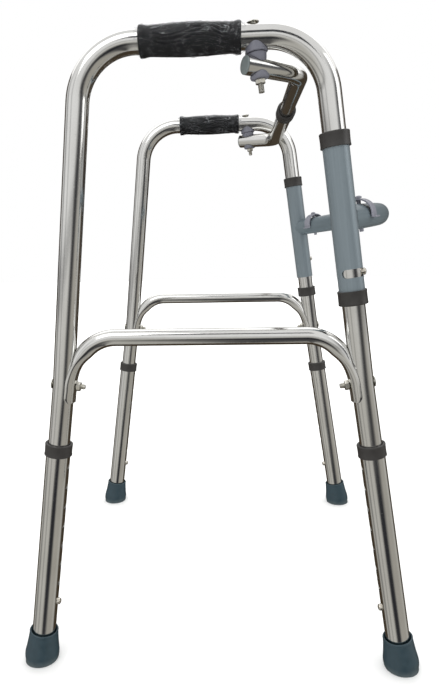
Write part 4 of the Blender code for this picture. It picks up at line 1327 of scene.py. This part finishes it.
def makeUpperSaddle(side):
    top, rim, rimTop, swivel = (saddlePlan[key] for key in ("top", "rim", "rimTop", "swivel"))
    profile = [
        (saddlePlan["bore"], 0.0), (top - 0.0006, 0.0), (top - 0.0002, -0.006), (top, -rimTop + 0.0016),
        (top + 0.0001, -rimTop + 0.0008), (rim - 0.0002, -rimTop + 0.0002), (rim, -rimTop - 0.0002),
        (rim, -swivel + 0.0005), (rim - 0.0004, -swivel), (saddlePlan["bore"], -swivel),
    ]
    piece = spinProfile(side + "_upper_saddle_moulded", profile)
    setInPlace(piece, saddlePlace(side))
    cutter = tubeAlong("rail_space", framePath(side, 16), framePlan["radius"] + seatGap)
    closeEnds(cutter)
    cutWith(piece, cutter)
    softenEdges(piece, saddlePlan["edge"], 2, 50.0)
    return piece


def armSpace(side):
    middle = saddlePoint(side, barPlan["saddleDrop"])
    reach = armDirection(side) * 0.03
    return middle - reach, middle + reach, barPlan["radius"][side] + seatGap


def makeLowerSaddle(side):
    top = -saddlePlan["swivel"] - saddlePlan["gap"][side]
    low, foot = saddlePlan["low"], saddlePlan["reach"] - barPlan["saddleDrop"]
    profile = [
        (saddlePlan["bore"], top), (low - 0.0005, top), (low - 0.0001, top - 0.0003), (low, top - 0.0008),
        (low - 0.0004, top - 0.0045), (low - 0.0013, foot), (saddlePlan["bore"], foot),
    ]
    piece = spinProfile(side + "_lower_saddle_moulded", profile)
    setInPlace(piece, saddlePlace(side))
    drill(piece, [armSpace(side)], 64)
    softenEdges(piece, saddlePlan["edge"], 2, 50.0)
    return piece


def saddleFoot(side):
    return -barPlan["saddleDrop"] - barPlan["radius"][side] - saddlePlan["footThick"]


def makeBottomSaddle(side):
    foot = saddleFoot(side)
    top = -barPlan["saddleDrop"] - saddlePlan["reach"]
    low = saddlePlan["low"]
    profile = [
        (saddlePlan["bore"], top), (low - 0.0015, top), (low - 0.0012, top - 0.001),
        (low - 0.0007, foot + 0.0048), (low - 0.0001, foot + 0.0031), (low, foot + saddlePlan["footThick"]),
        (saddlePlan["foot"] + 0.0002, foot + 0.0006), (saddlePlan["foot"] - 0.0002, foot + 0.0002),
        (saddlePlan["foot"] - 0.0006, foot), (saddlePlan["bore"], foot),
    ]
    piece = spinProfile(side + "_bottom_saddle_moulded", profile)
    setInPlace(piece, saddlePlace(side))
    drill(piece, [armSpace(side)], 64)
    softenEdges(piece, saddlePlan["edge"], 2, 50.0)
    return piece


for side in sideSign:
    dress(makeUpperSaddle(side), side + "_frame", "saddle", "grey_plastic", side + "_upper_saddle")
    dress(makeLowerSaddle(side), side + "_bar", "saddle", "grey_plastic", side + "_lower_saddle")
    dress(makeBottomSaddle(side), side + "_bar", "saddle", "grey_plastic", side + "_bottom_saddle")
    place = saddlePlace(side) @ lift(saddleFoot(side) - seatGap)
    nut = copyPiece(nutPattern, side + "_saddle_nut_hex", place)
    dress(nut, "left_swivel" if side == "left" else "right_bar", "zinc", "zinc_steel", side + "_saddle_nut")

lean = math.acos(foldDirection.z)
headSeat = framePlan["radius"] / math.cos(lean) + saddlePlan["head"] * math.tan(lean) + seatGap
for side, name, body, end, thread in (
        ("left", "left_saddle_bolt_threaded", "left_swivel", saddlePlan["boltEnd"], saddlePlan["thread"]),
        ("right", "right_saddle_bolt_headed", "right_frame", saddlePlan["swivel"], 0.0)):
    profile = boltProfile(saddlePlan["head"], saddlePlan["headHeight"], headSeat + end, thread)
    bolt = setInPlace(spinProfile(name, profile, 32), saddlePlace(side) @ lift(headSeat))
    dress(bolt, body, "zinc", "zinc_steel", side + "_saddle_bolt")
studTop = -saddlePlan["swivel"] - saddlePlan["gap"]["right"]
studProfile = [(0.0, studTop), (boltPlan["radius"], studTop)]
# a bolt of no length gives the threads, past the nine points of its head
for radius, height in boltProfile(0.0, 0.0, 0.0, saddlePlan["thread"])[9:]:
    studProfile.append((radius, height - saddlePlan["boltEnd"]))
stud = spinProfile("right_saddle_stud_threaded", studProfile, 32)
setInPlace(stud, saddlePlace("right"))
dress(stud, "right_bar", "zinc", "zinc_steel", "right_saddle_stud")
print("saddles and bolts in place")

for pattern in (nutPattern, braceBoltPattern, legClipPattern, sleeveClipPattern, legPattern,
                legCollarPattern, footPattern, topCollar, slippedCollar, padPattern, pinPattern):
    bpy.data.objects.remove(pattern, do_unlink=True)


# floor, room and lamps

studioPlan = {
    "floorSize": 14.0,
    "cardPlace": (0.06, -1.0, 1.18),
    "cardSize": (0.62, 0.34),
    # name, place, target, size and power of each lamp
    "lamps": (
        ("key_lamp", (-0.9, -1.6, 2.3), (0.0, 0.0, 0.4), (1.4, 1.4), 10.0),
        ("far_floor_lamp", (0.0, 5.0, 3.4), (0.0, 5.5, 0.0), (9.0, 7.0), 160.0),
        ("fill_lamp", (1.9, -0.6, 1.4), (0.0, 0.0, 0.4), (1.0, 1.6), 6.0),
    ),
}
roomPlan = {
    "lowFrom": -0.45,
    "lowTo": 0.30,
    "low": "#C2C0BA",
    "high": "#F4F4F4",
    "side": "#A39F96",
    "wall": "#3C3122",
    "dark": "#23242A",
    # bearing low down, bearing high up, half width and strength of each dark upright
    "uprights": ((0.14, 1.00, 0.30, 0.90), (-0.85, -0.75, 0.08, 0.35), (-1.55, -1.55, 0.16, 0.55)),
    # bearing, height, half width, half height and strength of the dark patch low down in front
    "patch": (0.15, -0.50, 0.45, 0.20, 0.80),
}


def mattSheet(name, dark, light, scale, detail, roughness):
    # paper or cloth stock: no gloss, and a slight mottle between two tones
    finish, tree = newFinish(name)
    place = addNode(tree, "TexCoord", {}, {})
    mottle = addNode(tree, "TexNoise", {"Scale": scale, "Detail": detail},
                     {"Vector": place.outputs["Object"]})
    tone = addNode(tree, "Mix", {"data_type": "RGBA", 6: linearColour(dark), 7: linearColour(light)},
                   {0: mottle.outputs["Fac"]})
    shader = addNode(tree, "BsdfPrincipled", {"Roughness": roughness, "Specular IOR Level": 0.1},
                     {"Base Color": tone.outputs[2]})
    addNode(tree, "OutputMaterial", {}, {"Surface": shader.outputs[0]})
    return finish


def makeFloor():
    # a roll of matt paper, left out of the reflections, which the room gives
    bpy.ops.object.select_all(action="DESELECT")
    bpy.ops.mesh.primitive_plane_add(size=studioPlan["floorSize"])
    floor = bpy.context.object
    floor.name = "studio_floor"
    floor.data.materials.append(mattSheet("Pale seamless paper", "#FBFBFA", "#FEFEFD", 3.0, 2.0, 0.95))
    floor.visible_glossy = False


def makeDarkCard():
    # a dark cloth card above the camera, seen only in the polished rails as their dark streak
    bpy.ops.object.select_all(action="DESELECT")
    bpy.ops.mesh.primitive_plane_add(size=1.0, location=studioPlan["cardPlace"],
                                     rotation=(math.pi / 2, 0.0, 0.0))
    card = bpy.context.object
    card.name = "studio_dark_card"
    card.scale = (*studioPlan["cardSize"], 1.0)
    card.data.materials.append(mattSheet("Dark woven cloth", "#26272B", "#4A4B4E", 9.0, 3.0, 0.9))
    card.visible_camera = False
    card.visible_diffuse = False
    card.visible_shadow = False


def makeRoom():
    # what the polished tubes mirror: a pale room, greyer low down and on one side, with a brown wall
    # behind the walker, a faint horizon, dark uprights and a dark patch. Lamplight and the camera get
    # plain white, so only the reflections hold the room.
    world = bpy.data.worlds.new("photo_room")
    world.use_nodes = True
    tree = world.node_tree
    tree.nodes.clear()
    place = addNode(tree, "TexCoord", {}, {})
    way = addNode(tree, "SeparateXYZ", {}, {0: place.outputs["Generated"]})
    back = addNode(tree, "Math", {"operation": "MULTIPLY", 1: -1.0}, {0: way.outputs[1]})
    bearing = addNode(tree, "Math", {"operation": "ARCTAN2"}, {0: way.outputs[0], 1: back.outputs[0]})
    bearing, rise = bearing.outputs[0], way.outputs[2]
    aside = addNode(tree, "Math", {"operation": "ABSOLUTE"}, {0: bearing}).outputs[0]
    level = addNode(tree, "Math", {"operation": "ABSOLUTE"}, {0: rise}).outputs[0]
    share = addNode(tree, "MapRange", {"interpolation_type": "SMOOTHSTEP", "From Min": roomPlan["lowFrom"],
                                       "From Max": roomPlan["lowTo"]}, {"Value": rise})
    room = addNode(tree, "Mix", {"data_type": "RGBA", 6: linearColour(roomPlan["low"]),
                                 7: linearColour(roomPlan["high"])}, {0: share.outputs[0]})
    # each layer has a tone and the fades that it is cut out by: what is read, from, to and strength
    layers = [
        ("side", ((bearing, 0.2, 0.7, 1.0), (bearing, 2.0, 1.3, 1.0), (rise, 0.25, -0.15, 0.75))),
        ("wall", ((aside, 1.75, 2.15, 0.97), (rise, 0.8, 0.35, 1.0))),
        ("dark", ((level, 0.08, 0.02, 0.4),)),
    ]
    for low, high, width, strength in roomPlan["uprights"]:
        middle = addNode(tree, "MapRange", {"From Min": -0.5, "From Max": 0.2,
                                            "To Min": low, "To Max": high}, {"Value": rise})
        apart = addNode(tree, "Math", {"operation": "SUBTRACT"}, {0: bearing, 1: middle.outputs[0]})
        apart = addNode(tree, "Math", {"operation": "ABSOLUTE"}, {0: apart.outputs[0]}).outputs[0]
        layers.append(("dark", ((apart, width * 2.0, width * 0.2, strength), (rise, 0.7, 0.3, 1.0))))
    patchFades = []
    for source, middle, half, strength in zip(
            (bearing, rise), roomPlan["patch"][:2], roomPlan["patch"][2:4], (roomPlan["patch"][4], 1.0)):
        apart = addNode(tree, "Math", {"operation": "SUBTRACT", 1: middle}, {0: source})
        apart = addNode(tree, "Math", {"operation": "ABSOLUTE"}, {0: apart.outputs[0]}).outputs[0]
        patchFades.append((apart, half, half * 0.4, strength))
    layers.append(("dark", patchFades))
    for tone, fades in layers:
        share = None
        for source, start, end, strength in fades:
            fade = addNode(tree, "MapRange", {"interpolation_type": "SMOOTHSTEP", "From Min": start,
                                              "From Max": end, "To Max": strength}, {"Value": source})
            if share is not None:
                fade = addNode(tree, "Math", {"operation": "MULTIPLY"}, {0: share, 1: fade.outputs[0]})
            share = fade.outputs[0]
        room = addNode(tree, "Mix", {"data_type": "RGBA", 7: linearColour(roomPlan[tone])},
                       {0: share, 6: room.outputs[2]})
    lightPath = addNode(tree, "LightPath", {}, {})
    seen = addNode(tree, "Mix", {"data_type": "RGBA", 6: (1.0, 1.0, 1.0, 1.0)},
                   {0: lightPath.outputs["Is Glossy Ray"], 7: room.outputs[2]})
    sky = addNode(tree, "Background", {"Strength": 1.0}, {"Color": seen.outputs[2]})
    addNode(tree, "OutputWorld", {}, {"Surface": sky.outputs[0]})
    bpy.context.scene.world = world


def addSoftLamp(name, place, target, size, power):
    bpy.ops.object.select_all(action="DESELECT")
    bpy.ops.object.light_add(type="AREA")
    lamp = bpy.context.object
    lamp.name = name
    lamp.matrix_world = axisPlace(Vector(place), Vector(place) - Vector(target), leftward)
    lamp.data.shape = "RECTANGLE"
    lamp.data.size, lamp.data.size_y = size
    lamp.data.energy = power


makeFloor()
makeRoom()
makeDarkCard()
for lamp in studioPlan["lamps"]:
    addSoftLamp(*lamp)
bpy.context.scene.view_settings.view_transform = "Standard"
print("floor, room and lamps set")
